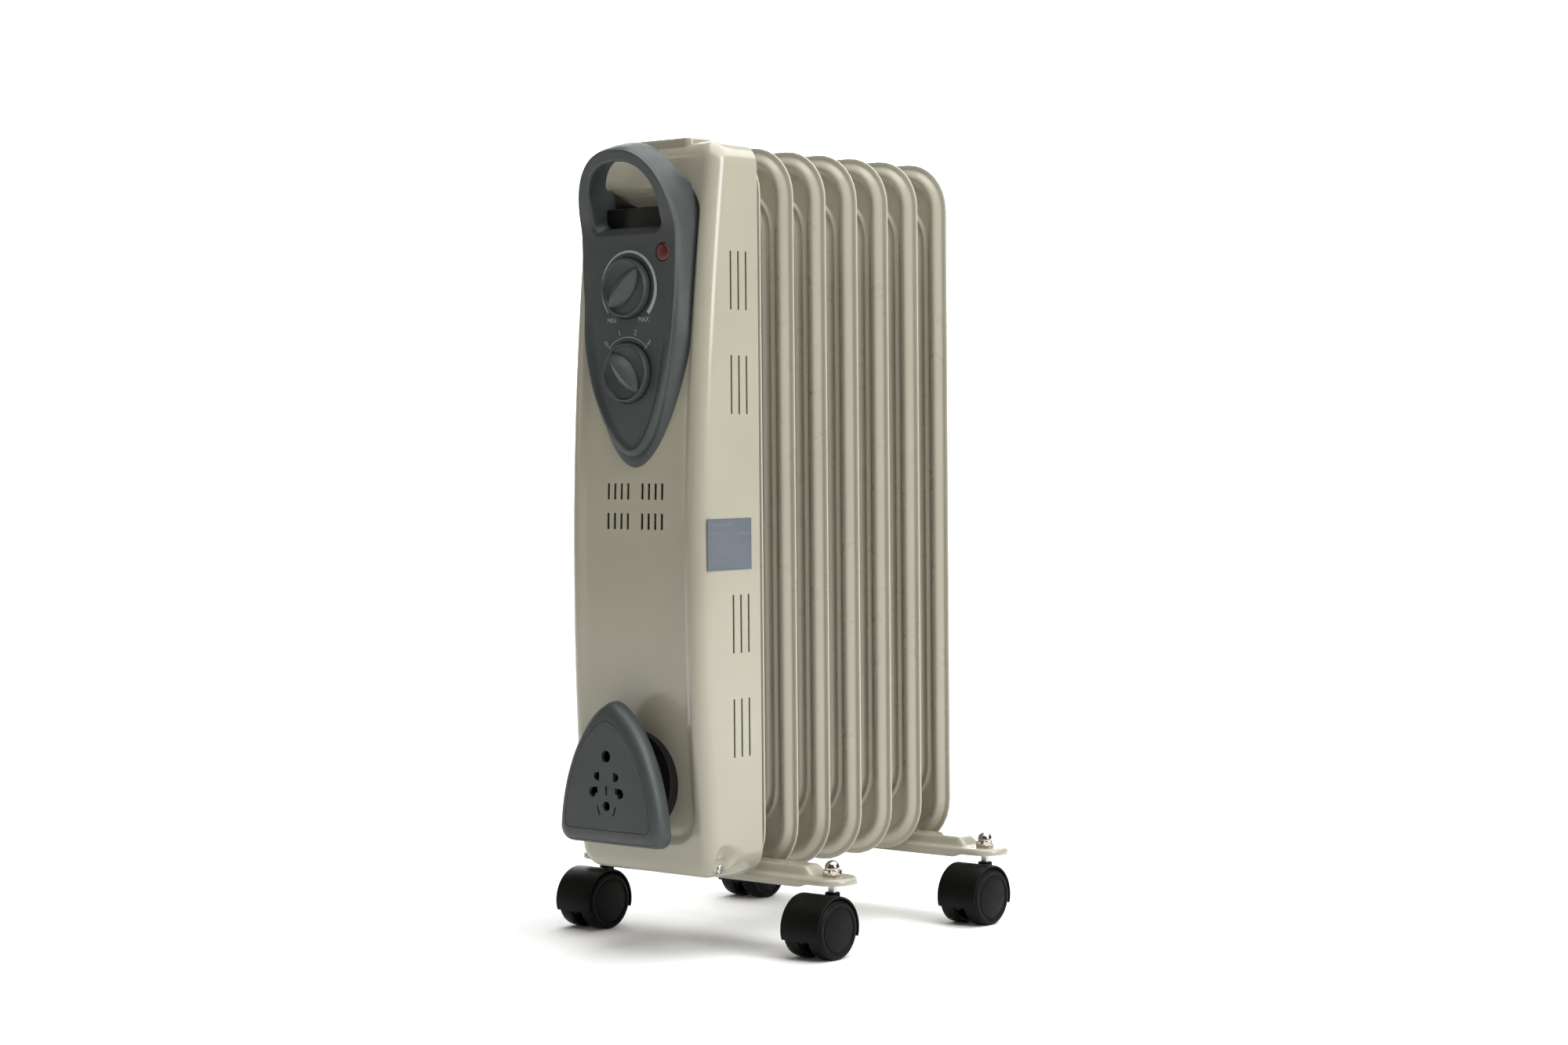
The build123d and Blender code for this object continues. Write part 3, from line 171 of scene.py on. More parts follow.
def loops_to_mesh(loops, cap_first=False, cap_last=False):
    """Vertices and faces of a skin laid over a row of loops with equal point counts."""
    count = len(loops[0])
    verts = [point for loop in loops for point in loop]
    faces = []
    for row in range(len(loops) - 1):
        for i in range(count):
            j = (i + 1) % count
            a = row * count
            b = a + count
            faces.append((a + i, b + i, b + j, a + j))
    if cap_first:
        faces.append(tuple(range(count)))
    if cap_last:
        start = (len(loops) - 1) * count
        faces.append(tuple(reversed(range(start, start + count))))
    return verts, faces


def merge_parts(parts):
    verts = []
    faces = []
    for part_verts, part_faces in parts:
        base = len(verts)
        verts.extend(part_verts)
        faces.extend(tuple(base + i for i in face) for face in part_faces)
    return verts, faces


def make_object(name, part, crease=38):
    """A Blender object from vertices in mm, welded, facing outwards and smooth-shaded."""
    verts, faces = part
    mesh = bpy.data.meshes.new(name)
    mesh.from_pydata([(x * MM, y * MM, z * MM) for x, y, z in verts], [], faces)
    work = bmesh.new()
    work.from_mesh(mesh)
    bmesh.ops.remove_doubles(work, verts=work.verts, dist=WELD * MM)
    bmesh.ops.dissolve_degenerate(work, edges=work.edges, dist=WELD * MM / 4)
    bmesh.ops.recalc_face_normals(work, faces=work.faces)
    work.to_mesh(mesh)
    work.free()
    obj = bpy.data.objects.new(name, mesh)
    bpy.context.scene.collection.objects.link(obj)
    shade(obj, crease)
    return obj


def shade(obj, crease=38):
    mesh = obj.data
    mesh.polygons.foreach_set("use_smooth", [True] * len(mesh.polygons))
    mesh.set_sharp_from_angle(angle=math.radians(crease))


def apply_modifiers(obj):
    bpy.context.view_layer.update()
    graph = bpy.context.evaluated_depsgraph_get()
    mesh = bpy.data.meshes.new_from_object(obj.evaluated_get(graph))
    obj.modifiers.clear()
    obj.data = mesh


def cut(obj, cutters, crease=38):
    """Cuts the joined cutters out of obj, in one exact boolean."""
    tool = make_object("cutter", merge_parts(cutters))
    modifier = obj.modifiers.new("cut", "BOOLEAN")
    modifier.object = tool
    modifier.solver = "EXACT"
    apply_modifiers(obj)
    bpy.data.objects.remove(tool)
    shade(obj, crease)


def bevel(obj, width, segments=2, angle=40):
    modifier = obj.modifiers.new("bevel", "BEVEL")
    modifier.width = width * MM
    modifier.segments = segments
    modifier.limit_method = "ANGLE"
    modifier.angle_limit = math.radians(angle)
    modifier.harden_normals = False
    apply_modifiers(obj)
    shade(obj, 42)


def prism_y(outline, front, back):
    return loops_to_mesh([at_depth(outline, front), at_depth(outline, back)], True, True)


def turned(profile, count=64):
    """A skin turned about the Z axis. profile lists (radius, height) from one end to the other."""
    loops = [[(x, y, height) for x, y in circle(max(radius, 0.001), count)] for radius, height in profile]
    return loops_to_mesh(loops)


def moved(part, matrix):
    verts, faces = part
    return [tuple(matrix @ Vector(v)) for v in verts], faces


FACING_FRONT = Matrix.Rotation(math.radians(90), 4, "X")     # +Z of a turned part becomes -Y
ALONG_X = Matrix.Rotation(math.radians(90), 4, "Y")          # +Z of a turned part becomes +X


def place(x, y, z):
    return Matrix.Translation((x, y, z))


# -------- materials
def new_material(name, colour, roughness, metallic=0.0, coat=0.0, specular=0.5):
    material = bpy.data.materials.new(name)
    material.use_nodes = True
    shader = material.node_tree.nodes["Principled BSDF"]
    shader.inputs["Base Color"].default_value = (*colour, 1)
    shader.inputs["Roughness"].default_value = roughness
    shader.inputs["Metallic"].default_value = metallic
    shader.inputs["Coat Weight"].default_value = coat
    shader.inputs["Coat Roughness"].default_value = 0.08
    shader.inputs["Specular IOR Level"].default_value = specular
    return material, shader


def noise(material, scale, detail=4.0, stretch=(1, 1, 1)):
    """A noise texture in the object's own metres, and so at a real scale."""
    nodes = material.node_tree.nodes
    links = material.node_tree.links
    place_node = nodes.new("ShaderNodeTexCoord")
    mapping = nodes.new("ShaderNodeMapping")
    mapping.inputs["Scale"].default_value = stretch
    texture = nodes.new("ShaderNodeTexNoise")
    texture.inputs["Scale"].default_value = scale
    texture.inputs["Detail"].default_value = detail
    links.new(place_node.outputs["Object"], mapping.inputs["Vector"])
    links.new(mapping.outputs["Vector"], texture.inputs["Vector"])
    return texture.outputs["Fac"]


NOISE_LOW = 0.3              # a noise texture's values lie mostly between these two
NOISE_HIGH = 0.7


def spread(material, value, low, high):
    """Stretches a noise value over the range from low to high."""
    node = material.node_tree.nodes.new("ShaderNodeMapRange")
    node.inputs["From Min"].default_value = NOISE_LOW
    node.inputs["From Max"].default_value = NOISE_HIGH
    node.inputs["To Min"].default_value = low
    node.inputs["To Max"].default_value = high
    material.node_tree.links.new(value, node.inputs["Value"])
    return node.outputs["Result"]


def vary_colour(material, shader, dark, light, value):
    """Lets a noise value drive the base colour from dark to light."""
    ramp = material.node_tree.nodes.new("ShaderNodeValToRGB")
    ramp.color_ramp.elements[0].position = NOISE_LOW
    ramp.color_ramp.elements[0].color = (*dark, 1)
    ramp.color_ramp.elements[1].position = NOISE_HIGH
    ramp.color_ramp.elements[1].color = (*light, 1)
    material.node_tree.links.new(value, ramp.inputs["Fac"])
    material.node_tree.links.new(ramp.outputs["Color"], shader.inputs["Base Color"])


def add_bump(material, shader, value, strength, distance):
    node = material.node_tree.nodes.new("ShaderNodeBump")
    node.inputs["Strength"].default_value = strength
    node.inputs["Distance"].default_value = distance * MM
    material.node_tree.links.new(value, node.inputs["Height"])
    material.node_tree.links.new(node.outputs["Normal"], shader.inputs["Normal"])


def scaled(colour, factor):
    return tuple(c * factor for c in colour)


def enamel(name, colour, roughness, coat, ripple):
    """Sprayed enamel: slight orange peel, soft blotches of colour, uneven gloss."""
    material, shader = new_material(name, colour, roughness, coat=coat)
    blotches = noise(material, 14, 3)
    vary_colour(material, shader, scaled(colour, 0.965), scaled(colour, 1.02), blotches)
    material.node_tree.links.new(
        spread(material, noise(material, 60, 5), roughness * 0.85, roughness * 1.2),
        shader.inputs["Roughness"],
    )
    add_bump(material, shader, noise(material, 420, 2), ripple, 0.06)
    return material


def moulded(name, colour, roughness, grain=0.25, specular=0.45):
    """Moulded plastic with a fine spark-eroded grain and faint handling marks."""
    material, shader = new_material(name, colour, roughness, specular=specular)
    vary_colour(material, shader, scaled(colour, 0.92), scaled(colour, 1.08), noise(material, 35, 4))
    material.node_tree.links.new(
        spread(material, noise(material, 120, 6), roughness * 0.85, roughness * 1.15),
        shader.inputs["Roughness"],
    )
    add_bump(material, shader, noise(material, 2600, 2), grain, 0.05)
    return material


def metal(name, colour, roughness, stretch=(1, 1, 1)):
    """Plated or bare metal with fine rubbing marks and a faint stain."""
    material, shader = new_material(name, colour, roughness, metallic=1.0)
    vary_colour(material, shader, scaled(colour, 0.88), colour, noise(material, 90, 4))
    material.node_tree.links.new(
        spread(material, noise(material, 700, 4, stretch), roughness * 0.7, roughness * 1.4),
        shader.inputs["Roughness"],
    )
    add_bump(material, shader, noise(material, 1500, 2, stretch), 0.12, 0.03)
    return material


def lens_material():
    """Ribbed red lens, with painted shade darkening the depths of its ribs."""
    material, shader = new_material("red_lens", (0.06, 0.003, 0.003), 0.35, coat=0.05)
    rib_height_and_shade = noise(material, 900, 1)
    # painted shade: the same noise that raises the ribs darkens the colour where the lens sits lower
    vary_colour(material, shader, (0.05, 0.002, 0.002), (0.085, 0.005, 0.004), rib_height_and_shade)
    shader.inputs["Subsurface Weight"].default_value = 0.15
    add_bump(material, shader, rib_height_and_shade, 0.3, 0.2)
    return material


def ink(name, dark, light, scale):
    """Printed ink or paint, a little uneven."""
    material, shader = new_material(name, dark, 0.5)
    vary_colour(material, shader, dark, light, noise(material, scale, 3))
    return material


CASE_COLOUR = (0.345, 0.327, 0.258)
FIN_COLOUR = (0.42, 0.398, 0.32)
PANEL_COLOUR = (0.036, 0.043, 0.043)
materials = {
    "casing_paint": enamel("casing_enamel", CASE_COLOUR, 0.2, 0.35, 0.10),
    "fin_paint": enamel("fin_enamel", FIN_COLOUR, 0.30, 0.3, 0.16),
    "panel_plastic": moulded("grey_plastic", PANEL_COLOUR, 0.42, 0.22),
    "dark_plastic": moulded("black_plastic", (0.007, 0.007, 0.007), 0.45, specular=0.3),
    "caster_plastic": moulded("black_nylon", (0.003, 0.003, 0.003), 0.45, 0.2, specular=0.1),
    "nickel": metal("nickel_plate", (0.52, 0.47, 0.41), 0.12),
    "zinc_steel": metal("zinc_plate", (0.58, 0.58, 0.57), 0.28),
    "element_steel": metal("heat_tinted_steel", (0.30, 0.25, 0.21), 0.4, (1, 0.1, 1)),
    "switch_plastic": moulded("cream_phenolic", (0.62, 0.58, 0.48), 0.5),
    "lens_red": lens_material(),
    "wire_sheath": moulded("wire_silicone", (0.5, 0.46, 0.42), 0.55),
    "label_foil": moulded("label_film", (0.095, 0.11, 0.128), 0.38, 0.05),
}
legend_paint = ink("legend_paint", (0.28, 0.30, 0.31), (0.36, 0.38, 0.39), 500)
label_ink = ink("label_ink", (0.08, 0.09, 0.11), (0.14, 0.15, 0.17), 600)

node_slot = {row["node"]: row["material_slot"] for row in frame["record"]["subparts"]}
for node_name, node in frame["nodes"].items():
    node.data.materials.clear()
    node.data.materials.append(materials[node_slot[node_name]])


def finish_piece(obj, body, slot, *nodes, material=None):
    """Gives a piece its material, taken from its slot unless one is given, puts it in its body and hides
    the CAD nodes that it stands for.
    """
    obj.data.materials.clear()
    obj.data.materials.append(material or materials[slot])
    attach(obj, body)
    if nodes:
        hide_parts(*nodes)


# -------- oil fins
FIN_CORNER_R = 35.0
HEADER_INSET = 68.0
SEAM_HALF = 0.7              # half thickness of the welded rim
WEB_HALF = 0.95              # half thickness of the flat between the tube and the ridge
TUBE_INSET = 3.4             # fin edge to the start of the pressed tube
TUBE_WIDTH = 11.2
TUBE_SWELL = 3.7
RIDGE_HALF_W = 44.0
RIDGE_INSET_Z = 27.0
RIDGE_CORNER_R = 32.0
RIDGE_WIDTH = 4.2
RIDGE_SWELL = 2.0
PLATEAU_HALF = 3.5
PLATEAU_INSET = 5.6          # ridge's outline to the slope up to the plateau, and the slope's width
PLATEAU_LIP = 0.5
BOSS_BASE_R = 29.0
BOSS_END_R = 16.0
BOSS_GAP = 0.05              # each of two bosses that meet stops this short of the middle
FIRST_BOSS = 9.0
LAST_BOSS = 5.3
fin_side = sorted(set(
    [t * 0.1 for t in steps(14)] + [0.1 + t * 0.8 for t in steps(12)] + [0.9 + t * 0.1 for t in steps(14)]
))


def fin_edge(inset):
    return rounded_rect(FIN_HIGH.x - inset, FIN_LOW.z + inset, FIN_HIGH.z - inset,
                        FIN_CORNER_R - inset, fin_side)


def fin_ridge(inset):
    """Outline of the inner ridge and of everything inside it."""
    return rounded_rect(RIDGE_HALF_W - inset, FIN_LOW.z + RIDGE_INSET_Z + inset,
                        FIN_HIGH.z - RIDGE_INSET_Z - inset, max(RIDGE_CORNER_R - inset, 2), fin_side)


def boss_height(x, z, reach):
    """How far a header boss stands out at a point, over the plateau."""
    rise = 0.0
    for header_z in (FIN_LOW.z + HEADER_INSET, FIN_HIGH.z - HEADER_INSET):
        radius = math.hypot(x, z - header_z)
        rise = max(rise, smooth(BOSS_BASE_R + 1, BOSS_END_R, radius))
    return lerp(PLATEAU_HALF, max(reach, PLATEAU_HALF), rise)


def fin_half(y_mid, sign, reach):
    """One pressed sheet, from its rim to its middle."""
    rows = [(fin_edge(0.0), 0.0), (fin_edge(0.0), 0.5), (fin_edge(0.25), SEAM_HALF),
            (fin_edge(2.4), SEAM_HALF)]
    for t in steps(16):
        swell = max(math.sin(math.pi * t), 0.0) ** 1.25
        rows.append((fin_edge(TUBE_INSET + TUBE_WIDTH * t),
                     lerp(SEAM_HALF, WEB_HALF, t) + TUBE_SWELL * swell))
    web_outer = fin_edge(TUBE_INSET + TUBE_WIDTH + 1)
    ridge_outer = fin_ridge(-0.8)
    rows.append((web_outer, WEB_HALF))
    rows.append((blend_outline(web_outer, ridge_outer, 0.5), WEB_HALF))
    rows.append((ridge_outer, WEB_HALF))
    for t in steps(6):
        rows.append((fin_ridge(RIDGE_WIDTH * t), WEB_HALF + RIDGE_SWELL * math.sin(math.pi * t) ** 1.2))
    for t in steps(6):
        lip = PLATEAU_LIP * math.sin(math.pi * min(t * 1.2, 1)) if t > 0.4 else 0
        rows.append((fin_ridge(PLATEAU_INSET * (1 + t)),
                     lerp(WEB_HALF, PLATEAU_HALF, smooth(0, 0.7, t)) + lip))
    loops = [at_depth(outline, y_mid + sign * half) for outline, half in rows]
    inner = [fin_ridge(inset) for inset in [*range(13, 34, 2), 36, 40]]
    inner.append(shrink(inner[-1], 1.0, FIN_LOW.z + HEADER_INSET, FIN_HIGH.z - HEADER_INSET))
    for outline in inner:
        loops.append([(x, y_mid + sign * boss_height(x, z, reach), z) for x, z in outline])
    return loops


def build_fins():
    half_pitch = FIN_PITCH / 2
    for number in range(FIN_COUNT):
        y_mid = FIN_1_Y + number * FIN_PITCH
        front_reach = half_pitch - BOSS_GAP if number else FIRST_BOSS
        back_reach = half_pitch - BOSS_GAP if number < FIN_COUNT - 1 else LAST_BOSS
        front = fin_half(y_mid, -1, front_reach)
        back = fin_half(y_mid, 1, back_reach)
        part = loops_to_mesh(list(reversed(front)) + back[1:])
        fin = make_object(f"fin_skin_{number + 1}", part, crease=60)
        finish_piece(fin, "radiator", "fin_paint", f"fin_{number + 1}")


# -------- control casing
CASE_CORNER_R = 15.5
CASE_EDGE_R = 11.0
CASE_SHEET = 0.8
RECESS_HALF_W = 49.0
RECESS_FOOT = 23.0           # casing's bottom to the recess in its front
RECESS_HEAD = 29.0           # recess to the casing's top
RECESS_CORNER_R = 20.0
RECESS_LIP = 1.5             # the slope into the recess runs from this far outside its outline
RECESS_SLOPE_END = 5.5       # to this far inside it
case_side = [
    0.5 - 0.5 * math.cos(math.pi * t) * (0.75 + 0.25 * abs(math.cos(math.pi * t)))
    for t in steps(40)
]


def lip_y(z):
    """Depth of the casing's bowed front around the recess."""
    return CASE_FRONT + CASE_BOW_R - math.sqrt(CASE_BOW_R ** 2 - (z - BOW_Z) ** 2)


def floor_y(z):
    """Depth of the recess's bowed floor."""
    return CASE_FRONT + RECESS_DEPTH + FLOOR_BOW_R - math.sqrt(FLOOR_BOW_R ** 2 - (z - BOW_Z) ** 2)


def case_outline(inset):
    return rounded_rect(CASE_HALF_W - inset, CASE_BOTTOM + inset, CASE_TOP - inset,
                        CASE_CORNER_R - inset, case_side, arc=10, flat=10)


def recess_outline(inset):
    return rounded_rect(RECESS_HALF_W - inset, CASE_BOTTOM + RECESS_FOOT + inset,
                        CASE_TOP - RECESS_HEAD - inset, max(RECESS_CORNER_R - inset, 1),
                        case_side, arc=10, flat=10)


def case_skin(sheet):
    """Loops of the casing from its open back to the middle of its front, sunk in by sheet."""
    loops = []
    side = case_outline(sheet)
    radius = CASE_EDGE_R - sheet
    for t in (0.0, 0.02, 0.25, 0.5, 0.75, 1.0):
        loops.append([(x, lerp(CASE_BACK, lip_y(z) + CASE_EDGE_R, t), z) for x, z in side])
    for sine, cosine in quarter(10):
        outline = case_outline(sheet + radius * (1 - cosine))
        loops.append([(x, lip_y(z) + CASE_EDGE_R - radius * sine, z) for x, z in outline])
    lip_outer = case_outline(CASE_EDGE_R)
    lip_inner = recess_outline(-RECESS_LIP - sheet)
    for t in (0.35, 0.7):
        loops.append([(x, lip_y(z) + sheet, z) for x, z in blend_outline(lip_outer, lip_inner, t)])
    for t in steps(9):
        sink = smooth(0, 1, t)
        outline = recess_outline(lerp(-RECESS_LIP, RECESS_SLOPE_END, t) - sheet)
        loops.append([(x, lerp(lip_y(z), floor_y(z), sink) + sheet, z) for x, z in outline])
    for inset in (9.0, 14.0, 20.0, 27.0, 34.0, 41.0):
        loops.append([(x, floor_y(z) + sheet, z) for x, z in recess_outline(inset)])
    middle = shrink(recess_outline(41.0), 1.0, CASE_BOTTOM + 70, CASE_TOP - 78)
    loops.append([(x, floor_y(z) + sheet, z) for x, z in middle])
    return loops


def slot_cutter_x(y, z, length, width, x_from, x_to):
    outline = rounded_rect(width / 2, z - length / 2, z + length / 2, width / 2 - 0.05, (0.0, 1.0), 4, 1)
    ring = [[(x, y + u, v) for u, v in outline] for x in (x_from, x_to)]
    return loops_to_mesh(ring, True, True)


SIDE_SLOT_LENGTH = 39.5
SIDE_SLOT_WIDTH = 1.6
SIDE_SLOT_Z = (CASE_TOP - 93.0, CASE_TOP - 162.5, CASE_BOTTOM + 100.0, CASE_BOTTOM + 169.8)
SIDE_SLOT_BACK = (27.8, 20.05, 12.3)
FRONT_SLOT_HALF_W = 1.1
FRONT_SLOT_HALF_H = 5.5
FRONT_SLOT_Z = (CASE_BOTTOM + 238.5, CASE_BOTTOM + 258.6)
FRONT_SLOT_X = (6.5, 12.45, 18.4, 24.35)


def casing_slots():
    cutters = []
    for side in (-1, 1):
        for z in SIDE_SLOT_Z:
            for back in SIDE_SLOT_BACK:
                cutters.append(slot_cutter_x(CASE_BACK - back, z, SIDE_SLOT_LENGTH, SIDE_SLOT_WIDTH,
                                             side * (CASE_HALF_W - 3), side * (CASE_HALF_W + 2)))
    for z in FRONT_SLOT_Z:
        for x in FRONT_SLOT_X:
            for side in (-1, 1):
                outline = rounded_rect(FRONT_SLOT_HALF_W, z - FRONT_SLOT_HALF_H, z + FRONT_SLOT_HALF_H,
                                       0.5, (0.0, 1.0), 3, 1)
                shifted = [(side * x + u, v) for u, v in outline]
                middle = floor_y(z)
                cutters.append(prism_y(shifted, middle - 3, middle + 3))
    return cutters


_, SCREW_Y, SCREW_Z = centre_mm("casing_screws")
DIMPLE_DEPTH = 4.3
DIMPLE_LOW_Z = CASE_BOTTOM + 4.9
SCREW_SEAT_X = CASE_HALF_W - DIMPLE_DEPTH


def casing_side_x(y, z):
    """Half width of the casing's outside at a point of its side, rounded in front and below."""
    front = max(CASE_EDGE_R - (y - lip_y(z)), 0)
    inset = CASE_EDGE_R - math.sqrt(max(CASE_EDGE_R ** 2 - front ** 2, 0))
    corner = CASE_CORNER_R - inset
    under = max(corner - (z - CASE_BOTTOM - inset), 0)
    return CASE_HALF_W - inset - corner + math.sqrt(max(corner ** 2 - under ** 2, 0))


def dimple_radius(height):
    """Radius of the dimple around a casing screw, this far out from its flat seat."""
    return 6.0 + 0.9 * height + 0.35 * height ** 2


def dimple_cutter(side):
    loops = []
    for height in (-1.5, 0.0, 0.6, 1.2, 2.0, 3.0, DIMPLE_DEPTH, 6.0):
        radius = dimple_radius(max(height, 0))
        loops.append([(side * (SCREW_SEAT_X + height), y, z)
                      for y, z in circle(radius, 48, SCREW_Y, SCREW_Z)])
    return loops_to_mesh(loops, True, True)


def dimple_floor(side):
    """The dimple's sheet: a flat seat whose flared rim ends just under the casing's outside."""
    rim = []
    for direction in steps(48)[:-1]:
        angle = 2 * math.pi * direction
        height = 0.0
        for _ in range(30):
            y = SCREW_Y + dimple_radius(height) * math.cos(angle)
            z = SCREW_Z + dimple_radius(height) * math.sin(angle)
            reach = casing_side_x(y, z) - SCREW_SEAT_X - 0.15
            height = lerp(height, min(max(reach, 0), DIMPLE_DEPTH - 0.1), 0.5)
        rim.append((angle, height))
    loops = []
    under = [(t, -CASE_SHEET) for t in (0, 0.35, 0.7, 1)]
    over = [(t, 0) for t in (1, 0.8, 0.6, 0.4, 0.2, 0)]
    for t, sheet in under + over:
        loop = []
        for angle, height in rim:
            radius = dimple_radius(t * height)
            y = SCREW_Y + radius * math.cos(angle)
            z = max(SCREW_Z + radius * math.sin(angle), DIMPLE_LOW_Z)
            loop.append((side * (SCREW_SEAT_X + t * height + sheet), y, z))
        loops.append(loop)
    return loops_to_mesh(loops, True, True)


def build_casing():
    loops = list(reversed(case_skin(CASE_SHEET))) + case_skin(0.0)
    shell = make_object("casing_skin", loops_to_mesh(loops), crease=50)
    cut(shell, casing_slots() + [dimple_cutter(1), dimple_cutter(-1)], crease=50)
    finish_piece(shell, "radiator", "casing_paint", "casing_shell")
    seat = make_object("casing_screw_seats", merge_parts([dimple_floor(1), dimple_floor(-1)]))
    finish_piece(seat, "radiator", "casing_paint")
    build_top_pad()


def build_top_pad():
    """A low pad on the casing's top, with a rounded upper edge."""
    outline = rounded_rect(PAD_HALF_W, CASE_BACK - PAD_BACK - PAD_DEPTH, CASE_BACK - PAD_BACK,
                           PAD_CORNER_R, (0, 0.5, 1))
    loops = []
    for inset, height in ((0, -3.2), (0, -0.4), (0, 1.2), (0, 2.2), (0.35, 3.0), (1.1, 3.38),
                          (2.2, PAD_HEIGHT)):
        loops.append([(x, y, CASE_TOP + height) for x, y in inset_outline(outline, inset)])
    pad = make_object("casing_top_pad", loops_to_mesh(loops, False, True), crease=60)
    finish_piece(pad, "radiator", "casing_paint")


# -------- control panel and handle
LEAN = math.radians(17.0)
PANEL_FACE = CASE_FRONT - 1.9
PANEL_BEND_Z = CASE_TOP - 58.5
PANEL_TOP_Z = CASE_TOP - 5.5
SHOULDER_Z = CASE_TOP - 62.5
BELLY_Z = CASE_TOP - 127.5
FACE_TIP_Z = CASE_TOP - 210.5
FOOT_TIP_Z = CASE_TOP - 217.4
FOOT_HALF_W = 47.0
FACE_HALF_W = 42.7
HANDLE_THICK = 20.0
NOTCH_Z = CASE_TOP - 31.0    # above it the handle stands clear of the casing
BEND_HALF = 7.0              # half height of the bend where the face starts to lean
SWELL_TOP_Z = PANEL_BEND_Z - 44.0
SWELL_LENGTH = 106.0
SWELL = 2.8
DISH_DEPTH = 2.0


def face_y(z):
    """The panel's face seen from the side: a soft swell below, flat in the middle, leaning above."""
    swell = SWELL * math.sin(math.pi * min(max((SWELL_TOP_Z - z) / SWELL_LENGTH, 0), 1)) ** 1.3
    rise = z - PANEL_BEND_Z
    if rise <= -BEND_HALF:
        lean = 0.0
    elif rise < BEND_HALF:
        lean = (rise + BEND_HALF) ** 2 / (4 * BEND_HALF)
    else:
        lean = rise
    return PANEL_FACE - swell - math.tan(LEAN) * lean


def half_outline(half_w, tip_z, top_z, margin, taper, bluntness):
    """Right half of the panel's outline, from its chin over its belly to its crown.

    margin is how much narrower the outline is in its lower part, taper how full its
    flanks are and bluntness how round its chin is.
    """
    def belly_width(z):
        return half_w - margin * smooth(SHOULDER_Z, BELLY_Z - 20, z)

    points = []
    for t in reversed(steps(28)):
        share = math.sin(math.pi / 2 * t)
        z = BELLY_Z - share * (BELLY_Z - tip_z)
        points.append((belly_width(z) * max(1 - share ** taper, 0) ** bluntness, z))
    for t in steps(8)[1:]:
        z = lerp(BELLY_Z, SHOULDER_Z, t)
        points.append((belly_width(z), z))
    for t in steps(30)[1:]:
        share = math.sin(math.pi / 2 * t)
        width = half_w * max(1 - share ** 2.3, 0) ** 0.42
        points.append((width, SHOULDER_Z + share * (top_z - SHOULDER_Z)))
    return points


def mirrored(right):
    """The whole outline from its right half, whose ends are on the middle line."""
    return right + [(-x, z) for x, z in reversed(right[1:-1])]


FACE_OUTLINE = mirrored(half_outline(FACE_HALF_W, FACE_TIP_Z, PANEL_TOP_Z, 3.2, 1.5, 0.5))
FOOT_OUTLINE = mirrored(half_outline(FOOT_HALF_W, FOOT_TIP_Z, PANEL_TOP_Z + 1, 0.6, 1.36, 0.53))


def edge_distance(x, z):
    """How far a point of the face is from the face's edge."""
    return min(math.hypot(x - px, z - pz) for px, pz in FACE_OUTLINE)


def panel_back(face_point, foot_point):
    """Where the side wall ends: on the casing below the notch, at the handle's back above it."""
    fx, fz = face_point
    bx, bz = foot_point
    y_face = face_y(fz)
    high = (fx * 1.012, y_face + HANDLE_THICK * math.cos(LEAN), fz + HANDLE_THICK * math.sin(LEAN))
    low = (bx, floor_y(bz) - 0.15, bz)
    t = smooth(NOTCH_Z - 1.5, NOTCH_Z + 1.5, fz)
    return tuple(lerp(a, b, t) for a, b in zip(low, high))


def edge_radius(z):
    """The face's edge is rounder at the chin."""
    return lerp(1.5, 4.6, smooth(CASE_TOP - 120, CASE_TOP - 200, z))


def panel_face_y(x, z):
    """The face with its long shallow dish around the selector."""
    low = smooth(CASE_TOP - 112, CASE_TOP - 150, z)
    if low == 0:
        return face_y(z)
    return face_y(z) + DISH_DEPTH * low * smooth(2.5, 9.0, edge_distance(x, z))


def build_panel():
    """Closed skin from the middle of the back, round the side wall, to the middle of the face."""
    backs = [panel_back(p, q) for p, q in zip(FACE_OUTLINE, FOOT_OUTLINE)]
    spine = (FOOT_TIP_Z + 46, PANEL_TOP_Z - 40)
    loops = []
    for amount in (1.0, 0.6, 0.3, 0.03):
        ring = shrink([(x, z) for x, _, z in backs], amount, *spine)
        loops.append([(x, y, z) for (x, z), (_, y, _) in zip(ring, backs)])
    for t in (0.0, 0.2, 0.4, 0.6, 0.8, 1.0):
        loop = []
        for back, (x, z) in zip(backs, FACE_OUTLINE):
            front = (x, face_y(z) + edge_radius(z), z)
            forward = math.sin(math.pi / 2 * t)
            wide = 1 - math.cos(math.pi / 2 * t)
            share = lerp(forward, wide, 0.3)
            loop.append((lerp(back[0], front[0], share), lerp(back[1], front[1], forward),
                         lerp(back[2], front[2], share)))
        loops.append(loop)
    inner = inset_outline(FACE_OUTLINE, 1.0)
    for sine, cosine in quarter(6):
        loop = []
        for (x, z), (inner_x, inner_z) in zip(FACE_OUTLINE, inner):
            radius = edge_radius(z)
            step = radius * (1 - cosine)
            px = lerp(x, inner_x, step)
            pz = lerp(z, inner_z, step)
            loop.append((px, face_y(pz) + radius * (1 - sine), pz))
        loops.append(loop)
    edge = [(x, z) for x, _, z in loops[-1]]
    for amount in (0.02, 0.045, 0.07, 0.1, 0.13, 0.17, 0.22, 0.3, 0.45, 0.6, 0.8, 1.0):
        loops.append(at_depth(shrink(edge, amount, *spine), panel_face_y))
    panel = make_object("panel_and_handle", loops_to_mesh(loops), crease=55)
    cut(panel, [grip_cutter()] + knob_pockets() + [lamp_hole()], crease=48)
    bevel(panel, 0.35, 2, 50)
    finish_piece(panel, "radiator", "panel_plastic", "control_panel")


GRIP_LOW_Z = CASE_TOP - 59.5
GRIP_HIGH_Z = CASE_TOP - 14.5
GRIP_HALF_W = 30.0


